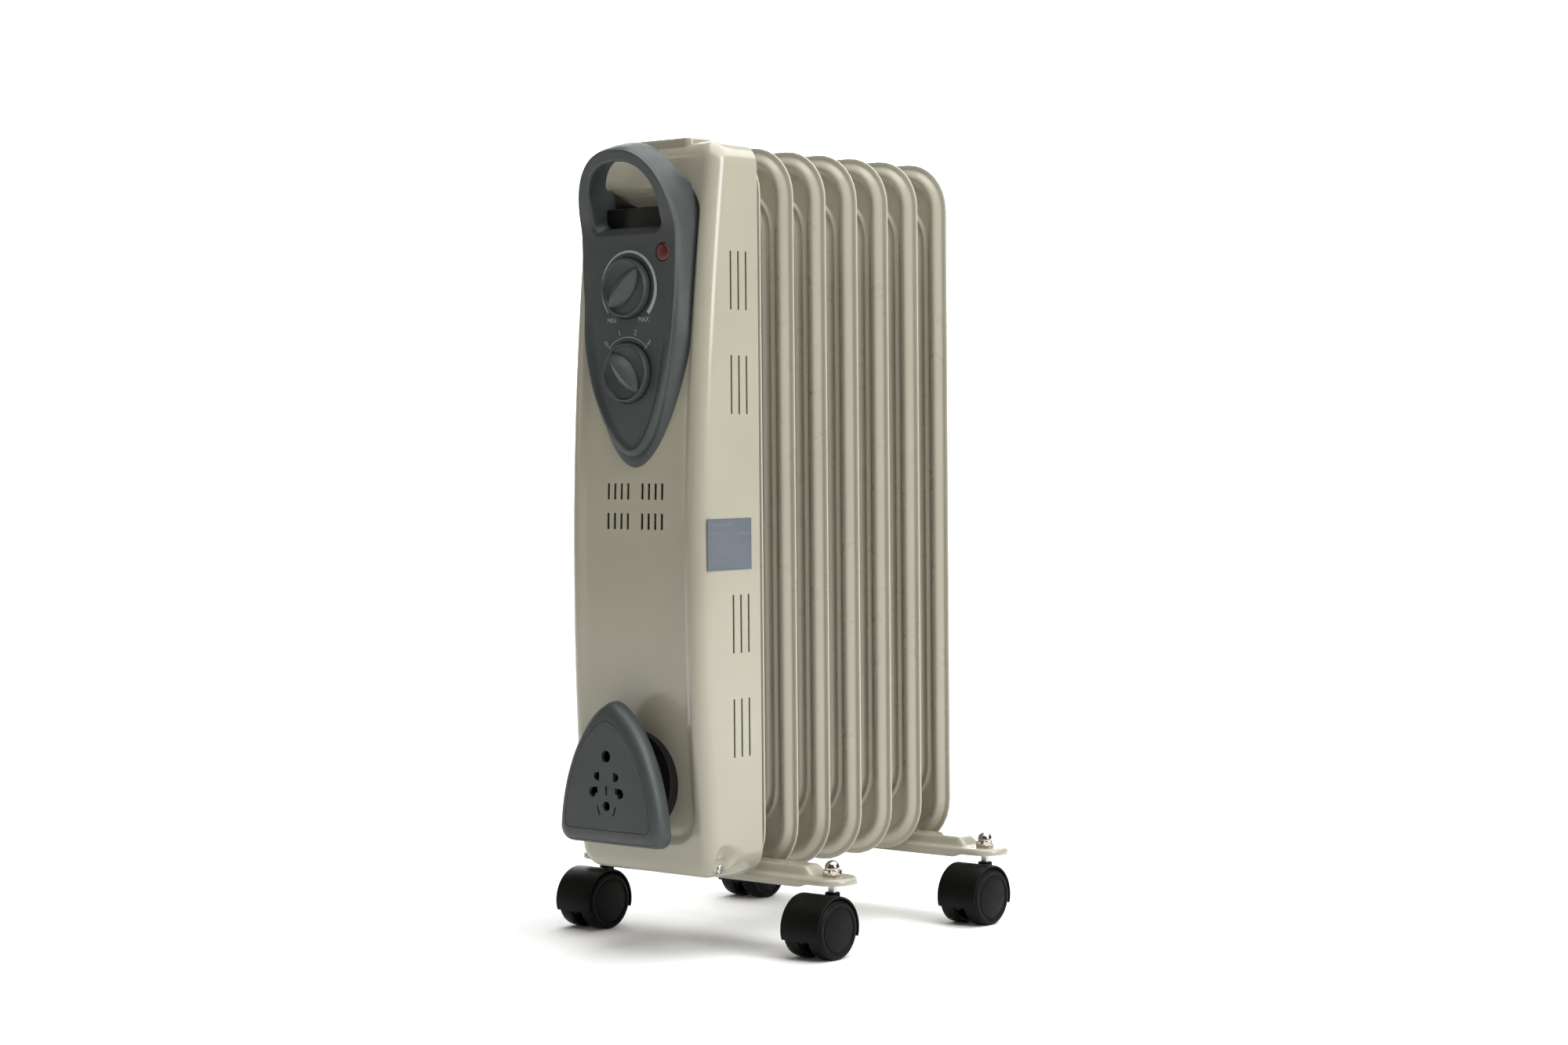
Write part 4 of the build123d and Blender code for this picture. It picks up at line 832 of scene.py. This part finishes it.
def grip_outline(grow):
    """The finger opening: flat below with round corners, arched above."""
    half_w = GRIP_HALF_W + grow
    low = GRIP_LOW_Z - grow
    high = GRIP_HIGH_Z + grow
    corner = 6.0 + grow
    spring = low + 0.42 * (high - low)
    right = [(half_w - corner + corner * math.sin(a), low + corner - corner * math.cos(a))
             for a in (math.pi / 2 * t for t in steps(8))]
    for t in steps(20)[1:]:
        a = math.pi / 2 * t
        right.append((half_w * max(math.cos(a), 0) ** 0.82, spring + (high - spring) * math.sin(a) ** 1.08))
    return right + [(-x, z) for x, z in reversed(right[:-1])]


def grip_cutter():
    """Follows the handle's lean, and flares where it meets the face."""
    loops = []
    for depth, grow in ((-9.0, 2.6), (-0.4, 2.6), (0.0, 2.1), (0.5, 1.3), (1.2, 0.6), (2.2, 0.15),
                        (3.2, 0), (26.0, 0)):
        loop = []
        for x, z in grip_outline(grow):
            y = face_y(z)
            loop.append((x, y + depth * math.cos(LEAN), z + depth * math.sin(LEAN)))
        loops.append(loop)
    return loops_to_mesh(loops, True, True)


KNOB_R = 20.0
KNOB_BACK = PANEL_FACE + 0.3
KNOB_RIM = PANEL_FACE - 5.6
KNOB_GRIP = PANEL_FACE - 11.0


def knob_pockets():
    pockets = []
    for z in (THERMOSTAT_Z, SELECTOR_Z):
        outline = circle(KNOB_R + 1.1, 72, 0, z)
        pockets.append(prism_y(outline, PANEL_FACE - 12, PANEL_FACE + 0.8))
    return pockets


LAMP_X, _, LAMP_Z = centre_mm("indicator_lens")
LAMP_HOLE_R = 6.35


def lamp_hole():
    return prism_y(circle(LAMP_HOLE_R, 48, LAMP_X, LAMP_Z), PANEL_FACE - 6, PANEL_FACE + 2.2)


def build_lamp():
    """A domed lens with a straight skirt. The profile is (radius, height over the face)."""
    profile = [(0.0, 1.5), (2.5, 1.42), (4.4, 1.15), (5.5, 0.7), (6.0, 0.1), (6.1, -0.6),
               (6.1, -2.0), (0.0, -2.0)]
    lens = moved(turned(profile, 48), place(LAMP_X, PANEL_FACE, LAMP_Z) @ FACING_FRONT)
    finish_piece(make_object("lamp_lens", lens), "radiator", "lens_red", "indicator_lens")


def build_ledge():
    """The dark housing that closes the lower half of the finger opening at its back."""
    top = CASE_TOP - 42.5
    low = GRIP_LOW_Z - 3
    front = CASE_FRONT + 10.5
    back = front + 6
    half_w = 32.5
    loops = []
    for x, pull in ((-half_w, 0.3), (0.5 - half_w, 0.0), (half_w - 0.5, 0.0), (half_w, 0.3)):
        loops.append([(x, front + pull, low), (x, front + pull, top - 0.6), (x, front + 0.6, top),
                      (x, back, top + 0.2), (x, back, low)])
    ledge = make_object("panel_back_ledge", loops_to_mesh(loops, True, True))
    finish_piece(ledge, "radiator", "dark_plastic", "control_panel_back")


# -------- knobs
GRIP_LENGTH = 37.2


def lens_outline(length, width):
    """Two arcs that meet in points at both ends, along X."""
    radius = (length ** 2 / 4 + width ** 2 / 4) / width
    half_angle = math.asin(min(length / 2 / radius, 1))
    offset = radius - width / 2
    upper = []
    for t in steps(20):
        a = lerp(-half_angle, half_angle, t)
        upper.append((-radius * math.sin(a), radius * math.cos(a) - offset))
    return upper + [(-x, -z) for x, z in upper[1:-1]]


def knob_part(z, grip_angle):
    """A knob with a raised rim, a sunk face and a crested lens-shaped finger bar."""
    depth = KNOB_BACK - KNOB_RIM
    profile = [(0.0, 0.0), (19.2, 0.0), (19.9, 0.5), (KNOB_R, 1.2), (19.75, depth - 0.9),
               (19.45, depth - 0.25), (18.9, depth), (18.3, depth), (17.8, depth - 0.3),
               (17.2, depth - 1.3), (16.4, depth - 1.7), (0.0, depth - 1.5)]
    disc = turned(profile, 96)
    loops = []
    for width, height in ((16.4, depth - 2.6), (16.2, depth - 1.2), (12.4, depth + 0.9),
                          (7.4, depth + 3.4), (0.5, KNOB_BACK - KNOB_GRIP)):
        outline = lens_outline(GRIP_LENGTH, width)
        loops.append([(x, y, lerp(height, depth - 1.0, (abs(x) / (GRIP_LENGTH / 2)) ** 3.2))
                      for x, y in outline])
    loops.append([(x, 0.0, z) for x, _, z in loops[-1]])
    bar = moved(loops_to_mesh(loops), Matrix.Rotation(math.radians(grip_angle), 4, "Z"))
    whole = merge_parts([disc, bar])
    return moved(whole, place(0, KNOB_BACK, z) @ FACING_FRONT)


def build_knobs():
    for name, body, z, angle in (
        ("thermostat_knob", "thermostat_control", THERMOSTAT_Z, 45.0),
        ("selector_knob", "selector_control", SELECTOR_Z, 133.0),
    ):
        knob = make_object(f"{name}_skin", knob_part(z, angle), crease=30)
        finish_piece(knob, body, "panel_plastic", name)


# -------- dial legends
LEGEND_LIFT = 0.07
LETTER_LIFT = 0.05
LETTER_THINNING = 0.012
DIGIT_RING_R = 27.6
SELECTOR_MARK = 45.0         # the two outer marks, degrees from the top


def legend_y(x, z):
    return panel_face_y(x, z) - LEGEND_LIFT


def legend_band(centre_z, start, end, inner, outer, count=60):
    """A band round a dial, by angles clockwise from the top. inner and outer are functions of 0 to 1."""
    verts = []
    faces = []
    for i, t in enumerate(steps(count)):
        a = math.radians(lerp(start, end, t))
        for radius in (inner(t), outer(t)):
            x = radius * math.sin(a)
            z = centre_z + radius * math.cos(a)
            verts.append((x, legend_y(x, z), z))
        if i:
            b = 2 * i
            faces.append((b - 2, b, b + 1, b - 1))
    return verts, faces


def build_legends():
    parts = [
        legend_band(THERMOSTAT_Z, -133, 133, lambda t: 23.6, lambda t: 24.3 + 2.3 * t ** 1.4),
        legend_band(SELECTOR_Z, -SELECTOR_MARK, SELECTOR_MARK, lambda t: 23.6, lambda t: 24.0),
    ]
    for angle in (-SELECTOR_MARK, SELECTOR_MARK):
        parts.append(legend_band(SELECTOR_Z, angle - 0.5, angle + 0.5, lambda t: 21.6, lambda t: 25.2, 2))
    marks = make_object("dial_marks", merge_parts(parts))
    finish_piece(marks, "radiator", "panel_plastic", material=legend_paint)
    letters = [("dial_min", "MIN", -14.1, THERMOSTAT_Z - 21.6, 4.6, 0),
               ("dial_max", "MAX", 14.6, THERMOSTAT_Z - 21.4, 4.6, 0)]
    for digit, angle in enumerate((-44, -15, 15, 44)):
        x = DIGIT_RING_R * math.sin(math.radians(angle))
        z = SELECTOR_Z + DIGIT_RING_R * math.cos(math.radians(angle))
        letters.append((f"dial_{digit}", str(digit), x, z - 0.2, 5.0, -angle))
    for name, text, x, z, size, turn in letters:
        curve = bpy.data.curves.new(name, "FONT")
        curve.body = text
        curve.size = size * MM
        curve.align_x = "CENTER"
        curve.align_y = "CENTER"
        curve.offset = -LETTER_THINNING * MM
        word = bpy.data.objects.new(name, curve)
        bpy.context.scene.collection.objects.link(word)
        slope = math.atan2(legend_y(x, z + 2) - legend_y(x, z - 2), 4)
        word.matrix_world = (
            place(x * MM, (legend_y(x, z) - LETTER_LIFT) * MM, z * MM)
            @ Matrix.Rotation(math.radians(90) - slope, 4, "X")
            @ Matrix.Rotation(math.radians(turn), 4, "Z")
        )
        finish_piece(apply_text(word), "radiator", "panel_plastic", material=legend_paint)


def apply_text(word):
    """Turns a text object into a mesh in the frame's own coordinates."""
    bpy.context.view_layer.update()
    graph = bpy.context.evaluated_depsgraph_get()
    mesh = bpy.data.meshes.new_from_object(word.evaluated_get(graph))
    mesh.transform(word.matrix_world)
    name = word.name
    bpy.data.objects.remove(word)
    flat = bpy.data.objects.new(name, mesh)
    bpy.context.scene.collection.objects.link(flat)
    return flat


def build_panel_screws():
    """Pan-head screws that hold the panel from inside the casing."""
    low, high = box_mm("panel_screws")
    parts = []
    head_r = 3.0
    upper_z = high.z - head_r
    for x, z in ((low.x + head_r, upper_z), (high.x - head_r, upper_z), (0.0, low.z + head_r)):
        head_y = floor_y(z) + 3.4
        profile = [(0.0, 0.0), (2.4, 0.1), (2.95, 0.7), (head_r, 1.9), (1.5, 2.0), (1.5, 6.8),
                   (0.9, 7.6), (0.0, 7.7)]
        parts.append(moved(turned(profile, 32), place(x, head_y, z) @ FACING_FRONT))
    screws = make_object("panel_fixing_screws", merge_parts(parts))
    finish_piece(screws, "radiator", "zinc_steel", "panel_screws")


# -------- label
def build_label():
    """Plain bars where a rating label has its rows. Each is y0, y1, z0, z1 in shares of the label."""
    low, high = box_mm("rating_label")
    x = high.x + 0.02
    rows = []
    width = high.y - low.y
    height = high.z - low.z
    bars = [(0.05, 0.55, 0.86, 0.90), (0.05, 0.48, 0.68, 0.74), (0.70, 0.93, 0.68, 0.74)]
    bars += [(0.05, 0.40, level, level + 0.02) for level in (0.58, 0.52, 0.46, 0.40, 0.34)]
    bars += [(0.60, 0.93, level, level + 0.02) for level in (0.55, 0.48, 0.41)]
    bars += [(0.05, 0.70, 0.18, 0.20), (0.05, 0.70, 0.11, 0.13)]
    for y0, y1, z0, z1 in bars:
        ya, yb = low.y + y0 * width, low.y + y1 * width
        za, zb = low.z + z0 * height, low.z + z1 * height
        rows.append(([(x, ya, za), (x, yb, za), (x, yb, zb), (x, ya, zb)], [(0, 1, 2, 3)]))
    bars_piece = make_object("label_bars", merge_parts(rows))
    finish_piece(bars_piece, "radiator", "label_foil", material=label_ink)


# -------- cord winder
def winder_outline(half_w, low, high, corner):
    """A flat foot, round lower corners, and long arcs that meet in a round head."""
    right = []
    for t in steps(6):
        a = math.pi / 2 * t
        right.append((half_w - corner + corner * math.sin(a), low + corner - corner * math.cos(a)))
    start = low + corner
    base_t = corner / (high - low)
    for i in range(1, 33):
        t = lerp(base_t, 1, math.sin(math.pi / 2 * i / 32))
        shape = max(1 - t ** 1.9, 0) ** 0.62 / (1 - base_t ** 1.9) ** 0.62
        right.append((half_w * shape, max(start, low + t * (high - low))))
    left = [(-x, z) for x, z in reversed(right[:-1])]
    foot = [(lerp(corner - half_w, half_w - corner, t), low) for t in steps(10)[1:-1]]
    return right + left + foot


def parking_holes():
    """Openings for the pins of several kinds of plug."""
    base = REEL_LOW.z
    front = REEL_LOW.y - 2
    back = REEL_LOW.y + 6
    holes = [circle(4.0, 40, 0, base + 59.9), circle(3.25, 36, 0, base + 26.7),
             rounded_rect(0.75, base + 34.0, base + 40.3, 0.3, (0.0, 1.0), 2, 1)]
    for side in (-1, 1):
        half_round = [(side * 6.3, base + 43.2), (side * 6.3, base + 49.6)]
        half_round += [(side * (7.2 + 4.2 * math.sin(a)), base + 46.4 + 2.9 * math.cos(a))
                       for a in (math.pi * t for t in steps(12))]
        holes.append(half_round)
        blob = [(side * 7.8, base + 39.2), (side * 7.8, base + 35.2), (side * 9.8, base + 34.9)]
        blob += [(side * (12.0 + 3.5 * math.cos(a)), base + 35.6 + 3.4 * math.sin(a))
                 for a in (lerp(-2.0, 1.5, t) for t in steps(12))]
        holes.append(blob)
        slanted = rounded_rect(0.6, -3.4, 3.4, 0.3, (0.0, 1.0), 2, 1)
        turn = side * math.radians(20)
        holes.append([(side * 7.2 + u * math.cos(turn) + v * math.sin(turn),
                       base + 23.6 - u * math.sin(turn) + v * math.cos(turn)) for u, v in slanted])
    return [prism_y(outline, front, back) for outline in holes]


WINDER_EDGE = 9.5            # depth of the plate's rounded edge


def build_winder():
    """The winder's front plate: a domed edge, a fine groove and a flat inner panel."""
    outer = winder_outline(REEL_HIGH.x, REEL_LOW.z, REEL_HIGH.z, 9.0)
    panel = winder_outline(38.0, REEL_LOW.z + 10.5, REEL_HIGH.z - 12.7, 4.0)
    front = REEL_LOW.y
    back = REEL_HIGH.y
    loops = []
    inner = [(x * 0.95, lerp(REEL_LOW.z + 40, z, 0.95)) for x, z in outer]
    spine = (REEL_LOW.z + 30, REEL_LOW.z + 50)
    for amount in (1.0, 0.5, 0.0):
        loops.append(at_depth(shrink(inner, amount, *spine), front + 3.0))
    loops.append(at_depth(inner, back))
    loops.append(at_depth(inset_outline(outer, 0.4), back))
    loops.append(at_depth(outer, back - 0.5))
    loops.append(at_depth(outer, front + WINDER_EDGE))
    for sine, cosine in quarter(10):
        ring = blend_outline(outer, panel, 0.94 * (1 - cosine))
        loops.append(at_depth(ring, front + WINDER_EDGE * (1 - sine)))
    for t, sink in ((0.975, 0.0), (0.985, 0.7), (1.0, 0.7), (1.01, 0.0)):
        loops.append(at_depth(blend_outline(outer, panel, t), front + sink))
    for amount in (0.3, 0.6, 1.0):
        loops.append(at_depth(shrink(blend_outline(outer, panel, 1.01), amount, *spine), front))
    plate = make_object("winder_plate", loops_to_mesh(loops), crease=45)
    cut(plate, parking_holes(), crease=45)
    finish_piece(plate, "radiator", "panel_plastic", "reel_front_plate")


# -------- leg brackets
LEG_HALF_W = (LEG_HIGH.y - LEG_LOW.y) / 2
LEG_STEM_X = LEG_HIGH.x - LEG_HALF_W
LEG_TOP = LEG_LOW.z + 6.8
LEG_SHEET = 1.2
LEG_EDGE_R = 3.0
RIB_HEIGHT = 6.2


def leg_outline(inset):
    """A slot with round ends. Uprights of rounded_rect become the leg's long sides."""
    radius = LEG_HALF_W - inset
    half = LEG_STEM_X + LEG_HALF_W - inset
    side = sorted(set([0.5 + s * t * 0.5 for s in (-1, 1) for t in
                       (0, 0.25, 0.5, 0.7, 0.78, 0.8, 0.82, 0.84, 0.86, 0.88, 0.9, 0.92, 0.96, 1.0)]))
    upright = rounded_rect(radius, -half, half, radius - 0.005, side, arc=12, flat=1)
    return [(z, -x) for x, z in upright]


def leg_surface(x, y):
    """The leg's top with its long rib."""
    across = smooth(10.4, 7.0, abs(y))
    along = smooth(95.0, 85.0, abs(x))
    return LEG_TOP + RIB_HEIGHT * across * along


def leg_skirt(x):
    """The turned-down edge is shallower near the ends."""
    return LEG_LOW.z + 2.2 * smooth(LEG_STEM_X - 17, LEG_STEM_X - 8, abs(x))


def build_legs():
    for name in ("leg_front", "leg_rear"):
        y_mid = centre_mm(name)[1]
        loops = []
        outline = leg_outline(0)
        for t in (0.0, 0.5, 1.0):
            loops.append([(x, y_mid + y, lerp(leg_skirt(x), LEG_TOP - LEG_EDGE_R, t)) for x, y in outline])
        for sine, cosine in quarter(6):
            ring = leg_outline(LEG_EDGE_R * (1 - cosine))
            loops.append([(x, y_mid + y, LEG_TOP - LEG_EDGE_R * (1 - sine)) for x, y in ring])
        for inset in (4.5, 6.2, 6.8, 7.4, 8.0, 8.6, 9.2, 9.9, 11.0, 13.0, LEG_HALF_W - 0.01):
            loops.append([(x, y_mid + y, leg_surface(x, y)) for x, y in leg_outline(inset)])
        leg = make_object(f"{name}_skin", loops_to_mesh(loops), crease=50)
        sheet = leg.modifiers.new("sheet", "SOLIDIFY")
        sheet.thickness = LEG_SHEET * MM
        sheet.offset = -1
        apply_modifiers(leg)
        shade(leg, 50)
        finish_piece(leg, "radiator", "casing_paint", name)


NUT_HALF_FLATS = 5.9
DOME_R = 5.2
DOME_HEIGHT = 5.25
DOME_BASE = 5.6              # height of the dome's foot over the nut's seat


def build_cap_nuts():
    """Dome nuts: a hexagon with its corners turned off, and a polished dome."""
    seat_z = box_mm("caster_cap_nuts")[0].z
    count = 72

    def hexagon_loop(limit, height):
        loop = []
        for i in range(count):
            a = 2 * math.pi * i / count
            sector = (a + math.pi / 6) % (math.pi / 3) - math.pi / 6
            radius = min(NUT_HALF_FLATS / math.cos(sector), limit)
            loop.append((radius * math.cos(a), radius * math.sin(a), height))
        return loop

    def round_loop(radius, height):
        return [(x, y, height) for x, y in circle(radius, count)]

    loops = [round_loop(3.2, 0.0), hexagon_loop(6.1, 0.0), hexagon_loop(7.0, 0.7), hexagon_loop(7.0, 3.7),
             hexagon_loop(6.35, 4.35), round_loop(5.85, 4.6), round_loop(5.25, 4.65),
             round_loop(DOME_R, DOME_BASE)]
    for sine, cosine in quarter(12):
        loops.append(round_loop(max(DOME_R * cosine, 0.001), DOME_BASE + DOME_HEIGHT * sine))
    nut = loops_to_mesh(loops)
    parts = []
    for leg in ("leg_front", "leg_rear"):
        for side in (-1, 1):
            spot = place(side * LEG_STEM_X, centre_mm(leg)[1], seat_z)
            parts.append(moved(nut, spot @ Matrix.Rotation(0.35 * side, 4, "Z")))
    nuts = make_object("dome_nuts", merge_parts(parts), crease=32)
    finish_piece(nuts, "radiator", "nickel", "caster_cap_nuts")


# -------- casters
HOOD_WALL = 1.7
HOOD_MARGIN = 0.9            # the cover's rims stand this much outside the node's flat sides
HOOD_MOUTH = 17.0            # how far the mouth reaches below the axle, in degrees
WEB_HALF_T = 1.8
WEB_DROP = 8.0               # axle to the web's lower edge
TREAD_R = 20.0
TREAD_WIDTH = 12.0


def hood_part(axle_y, axle_z, half_w, outer_r):
    """A curved cover with rounded rims, swept about the axle from mouth to mouth."""
    profile = []
    rim = HOOD_WALL / 2
    inner_r = outer_r - HOOD_WALL
    middle = outer_r - rim
    for t in steps(6):
        a = math.pi * t
        profile.append((half_w - rim + rim * math.sin(a), outer_r - rim + rim * math.cos(a)))
    for t in steps(6):
        a = math.pi * (1 + t)
        profile.append((rim - half_w + rim * math.sin(a), inner_r + rim + rim * math.cos(a)))
    loops = []
    for t in steps(48):
        a = lerp(math.radians(-HOOD_MOUTH), math.radians(180 + HOOD_MOUTH), t)
        pinch = 1 - 0.25 * (smooth(0.05, 0, t) + smooth(0.95, 1, t))
        loops.append([(x, axle_y + (middle + (r - middle) * pinch) * math.cos(a),
                       axle_z + (middle + (r - middle) * pinch) * math.sin(a)) for x, r in profile])
    return loops_to_mesh(loops, True, True)


def build_hood(corner):
    """Cover, centre web and the collar that holds the stem."""
    low, high = box_mm(f"hood_{corner}")
    _, axle_y, axle_z = centre_mm(f"axle_{corner}")
    stem_x, stem_y, _ = centre_mm(f"stem_{corner}")
    outer_r = axle_y - low.y
    cover = hood_part(axle_y, axle_z, (high.x - low.x) / 2 + HOOD_MARGIN, outer_r)
    web_r = outer_r - 1.6
    web_profile = [(0.0, -WEB_HALF_T), (web_r, -WEB_HALF_T), (web_r, WEB_HALF_T), (0.0, WEB_HALF_T)]
    web_verts, web_faces = moved(turned(web_profile, 64), place(stem_x, axle_y, axle_z) @ ALONG_X)
    web = ([(x, y, max(z, axle_z - WEB_DROP)) for x, y, z in web_verts], web_faces)
    top = high.z
    collar_profile = [(2.7, top), (4.5, top), (4.95, top - 0.25), (5.1, top - 0.8), (5.1, top - 4.8),
                      (5.6, top - 6.0), (4.1, top - 6.2), (4.1, top - 16.5), (2.7, top - 16.8), (2.7, top)]
    collar = moved(turned(collar_profile, 48), place(stem_x, stem_y, 0))
    parts = [moved(cover, place(stem_x, 0, 0)), web, collar]
    hood = make_object(f"hood_skin_{corner}", merge_parts(parts), crease=40)
    finish_piece(hood, f"swivel_{corner}", "caster_plastic", f"hood_{corner}")


def build_wheel(corner, side_name):
    """Hub, tread and an outer disc with one ring. The profile is (radius, distance outwards)."""
    node = f"wheel_{corner}_{side_name}"
    low, high = box_mm(node)
    _, axle_y, axle_z = centre_mm(f"axle_{corner}")
    side = -1 if side_name == "left" else 1
    inner_x = low.x if side > 0 else high.x
    reach = abs(high.x - low.x)
    tread = reach - TREAD_WIDTH
    profile = [(2.6, 0.0), (5.0, 0.0), (5.2, 0.4), (5.2, reach - 3.0), (16.6, reach - 2.6),
               (17.0, tread + 0.5), (17.4, tread), (19.2, tread), (19.8, tread + 0.4),
               (TREAD_R, tread + 1.2), (TREAD_R, reach - 2.2), (19.7, reach - 1.0), (18.9, reach - 0.25),
               (18.0, reach), (16.6, reach), (16.3, reach - 0.15), (15.9, reach - 0.75),
               (15.1, reach - 0.8), (14.7, reach - 0.3), (14.2, reach - 0.15), (0.0, reach)]
    turn = ALONG_X if side > 0 else ALONG_X @ Matrix.Rotation(math.pi, 4, "X")
    part = moved(turned(profile, 96), place(inner_x, axle_y, axle_z) @ turn)
    wheel = make_object(f"wheel_skin_{corner}_{side_name}", part, crease=30)
    finish_piece(wheel, f"roller_{corner}_{side_name}", "caster_plastic", node)


def build_casters():
    for corner in ("front_left", "front_right", "rear_left", "rear_right"):
        build_hood(corner)
        for side_name in ("left", "right"):
            build_wheel(corner, side_name)


# -------- camera, floor and lights
CAMERA_AZIMUTH = 39.80       # degrees
CAMERA_ELEVATION = 1.708
CAMERA_ROLL = -0.484
CAMERA_LENS = 66.81
CAMERA_SPOT = (1328.7, FIN_1_Y - 1500.1, 349.7)


def build_camera():
    """The view from the front right, a little above the middle."""
    azimuth = math.radians(CAMERA_AZIMUTH)
    elevation = math.radians(CAMERA_ELEVATION)
    roll = math.radians(CAMERA_ROLL)
    level = math.cos(elevation)
    back = Vector((math.sin(azimuth) * level, -math.cos(azimuth) * level, math.sin(elevation)))
    right = (-back).cross(Vector((0, 0, 1))).normalized()
    up = right.cross(-back)
    tilted_right = math.cos(roll) * right + math.sin(roll) * up
    tilted_up = -math.sin(roll) * right + math.cos(roll) * up
    camera = bpy.data.objects.new("camera", bpy.data.cameras.new("camera"))
    camera.data.sensor_width = 36.0
    camera.data.lens = CAMERA_LENS
    camera.data.clip_end = 50
    turn = Matrix((tilted_right, tilted_up, back)).transposed().to_4x4()
    camera.matrix_world = Matrix.Translation(Vector(CAMERA_SPOT) * MM) @ turn
    bpy.context.scene.collection.objects.link(camera)
    bpy.context.scene.camera = camera


FLOOR_HALF_W = 9.0           # metres, as are the rest of the floor's sizes
FLOOR_FRONT = -6.0
FLOOR_BACK = 5.0
COVE_R = 3.0
BACKDROP_TOP = 9.0


def build_floor():
    """A pale floor that curves up into a backdrop far behind, square to the camera."""
    turn = Matrix.Rotation(math.radians(CAMERA_AZIMUTH), 4, "Z")
    profile = [(FLOOR_FRONT, 0.0), (FLOOR_BACK, 0.0)]
    for sine, cosine in quarter(12):
        profile.append((FLOOR_BACK + COVE_R * sine, COVE_R * (1 - cosine)))
    profile.append((FLOOR_BACK + COVE_R, BACKDROP_TOP))
    verts = [tuple(turn @ Vector((x, y, z))) for y, z in profile for x in (-FLOOR_HALF_W, FLOOR_HALF_W)]
    faces = [(2 * i, 2 * i + 1, 2 * i + 3, 2 * i + 2) for i in range(len(profile) - 1)]
    mesh = bpy.data.meshes.new("studio_floor")
    mesh.from_pydata(verts, [], faces)
    floor = bpy.data.objects.new("studio_floor", mesh)
    bpy.context.scene.collection.objects.link(floor)
    mesh.polygons.foreach_set("use_smooth", [True] * len(mesh.polygons))
    paper, shader = new_material("studio_paper", (0.92, 0.92, 0.92), 0.85, specular=0.1)
    vary_colour(paper, shader, (0.915, 0.915, 0.915), (0.925, 0.925, 0.925), noise(paper, 3, 2))
    mesh.materials.append(paper)


def area_light(name, spot, target, size, power, colour=(1, 1, 1)):
    """A rectangular softbox at a spot, aimed at a target, both in metres. power is in watts."""
    data = bpy.data.lights.new(name, "AREA")
    data.shape = "RECTANGLE"
    data.size, data.size_y = size
    data.energy = power
    data.color = colour
    light = bpy.data.objects.new(name, data)
    bpy.context.scene.collection.objects.link(light)
    direction = Vector(target) - Vector(spot)
    aim = direction.to_track_quat("-Z", "Y").to_matrix().to_4x4()
    light.matrix_world = Matrix.Translation(spot) @ aim


def build_lights():
    """A wide overhead softbox whitens the floor, and a tall one on the right lights the sides."""
    scene = bpy.context.scene
    scene.view_settings.view_transform = "Standard"
    world = bpy.data.worlds.new("studio")
    scene.world = world
    world.use_nodes = True
    background = world.node_tree.nodes["Background"]
    background.inputs["Color"].default_value = (1, 0.93, 0.8, 1)
    background.inputs["Strength"].default_value = 0.115
    area_light("overhead", (0.9, 0.6, 3.0), (0.3, 0.3, 0), (4.6, 4.2), 200)
    area_light("right_softbox", (2.8, -0.1, 1.5), (0, 0, 0.42), (1.2, 1.8), 52, (0.96, 0.99, 1.0))
    area_light("left_strip", (-1.9, -1.6, 1.1), (0, 0, 0.35), (0.4, 1.6), 4, (1, 0.94, 0.84))
    area_light("backdrop_wash", (-2.7, 3.2, 4.5), (-5.0, 6.0, 0.8), (6.0, 2.0), 800)


build_camera()
build_floor()
build_lights()
build_fins()
build_casing()
build_panel()
build_ledge()
build_panel_screws()
build_lamp()
build_knobs()
build_legends()
build_label()
build_winder()
build_legs()
build_cap_nuts()
build_casters()
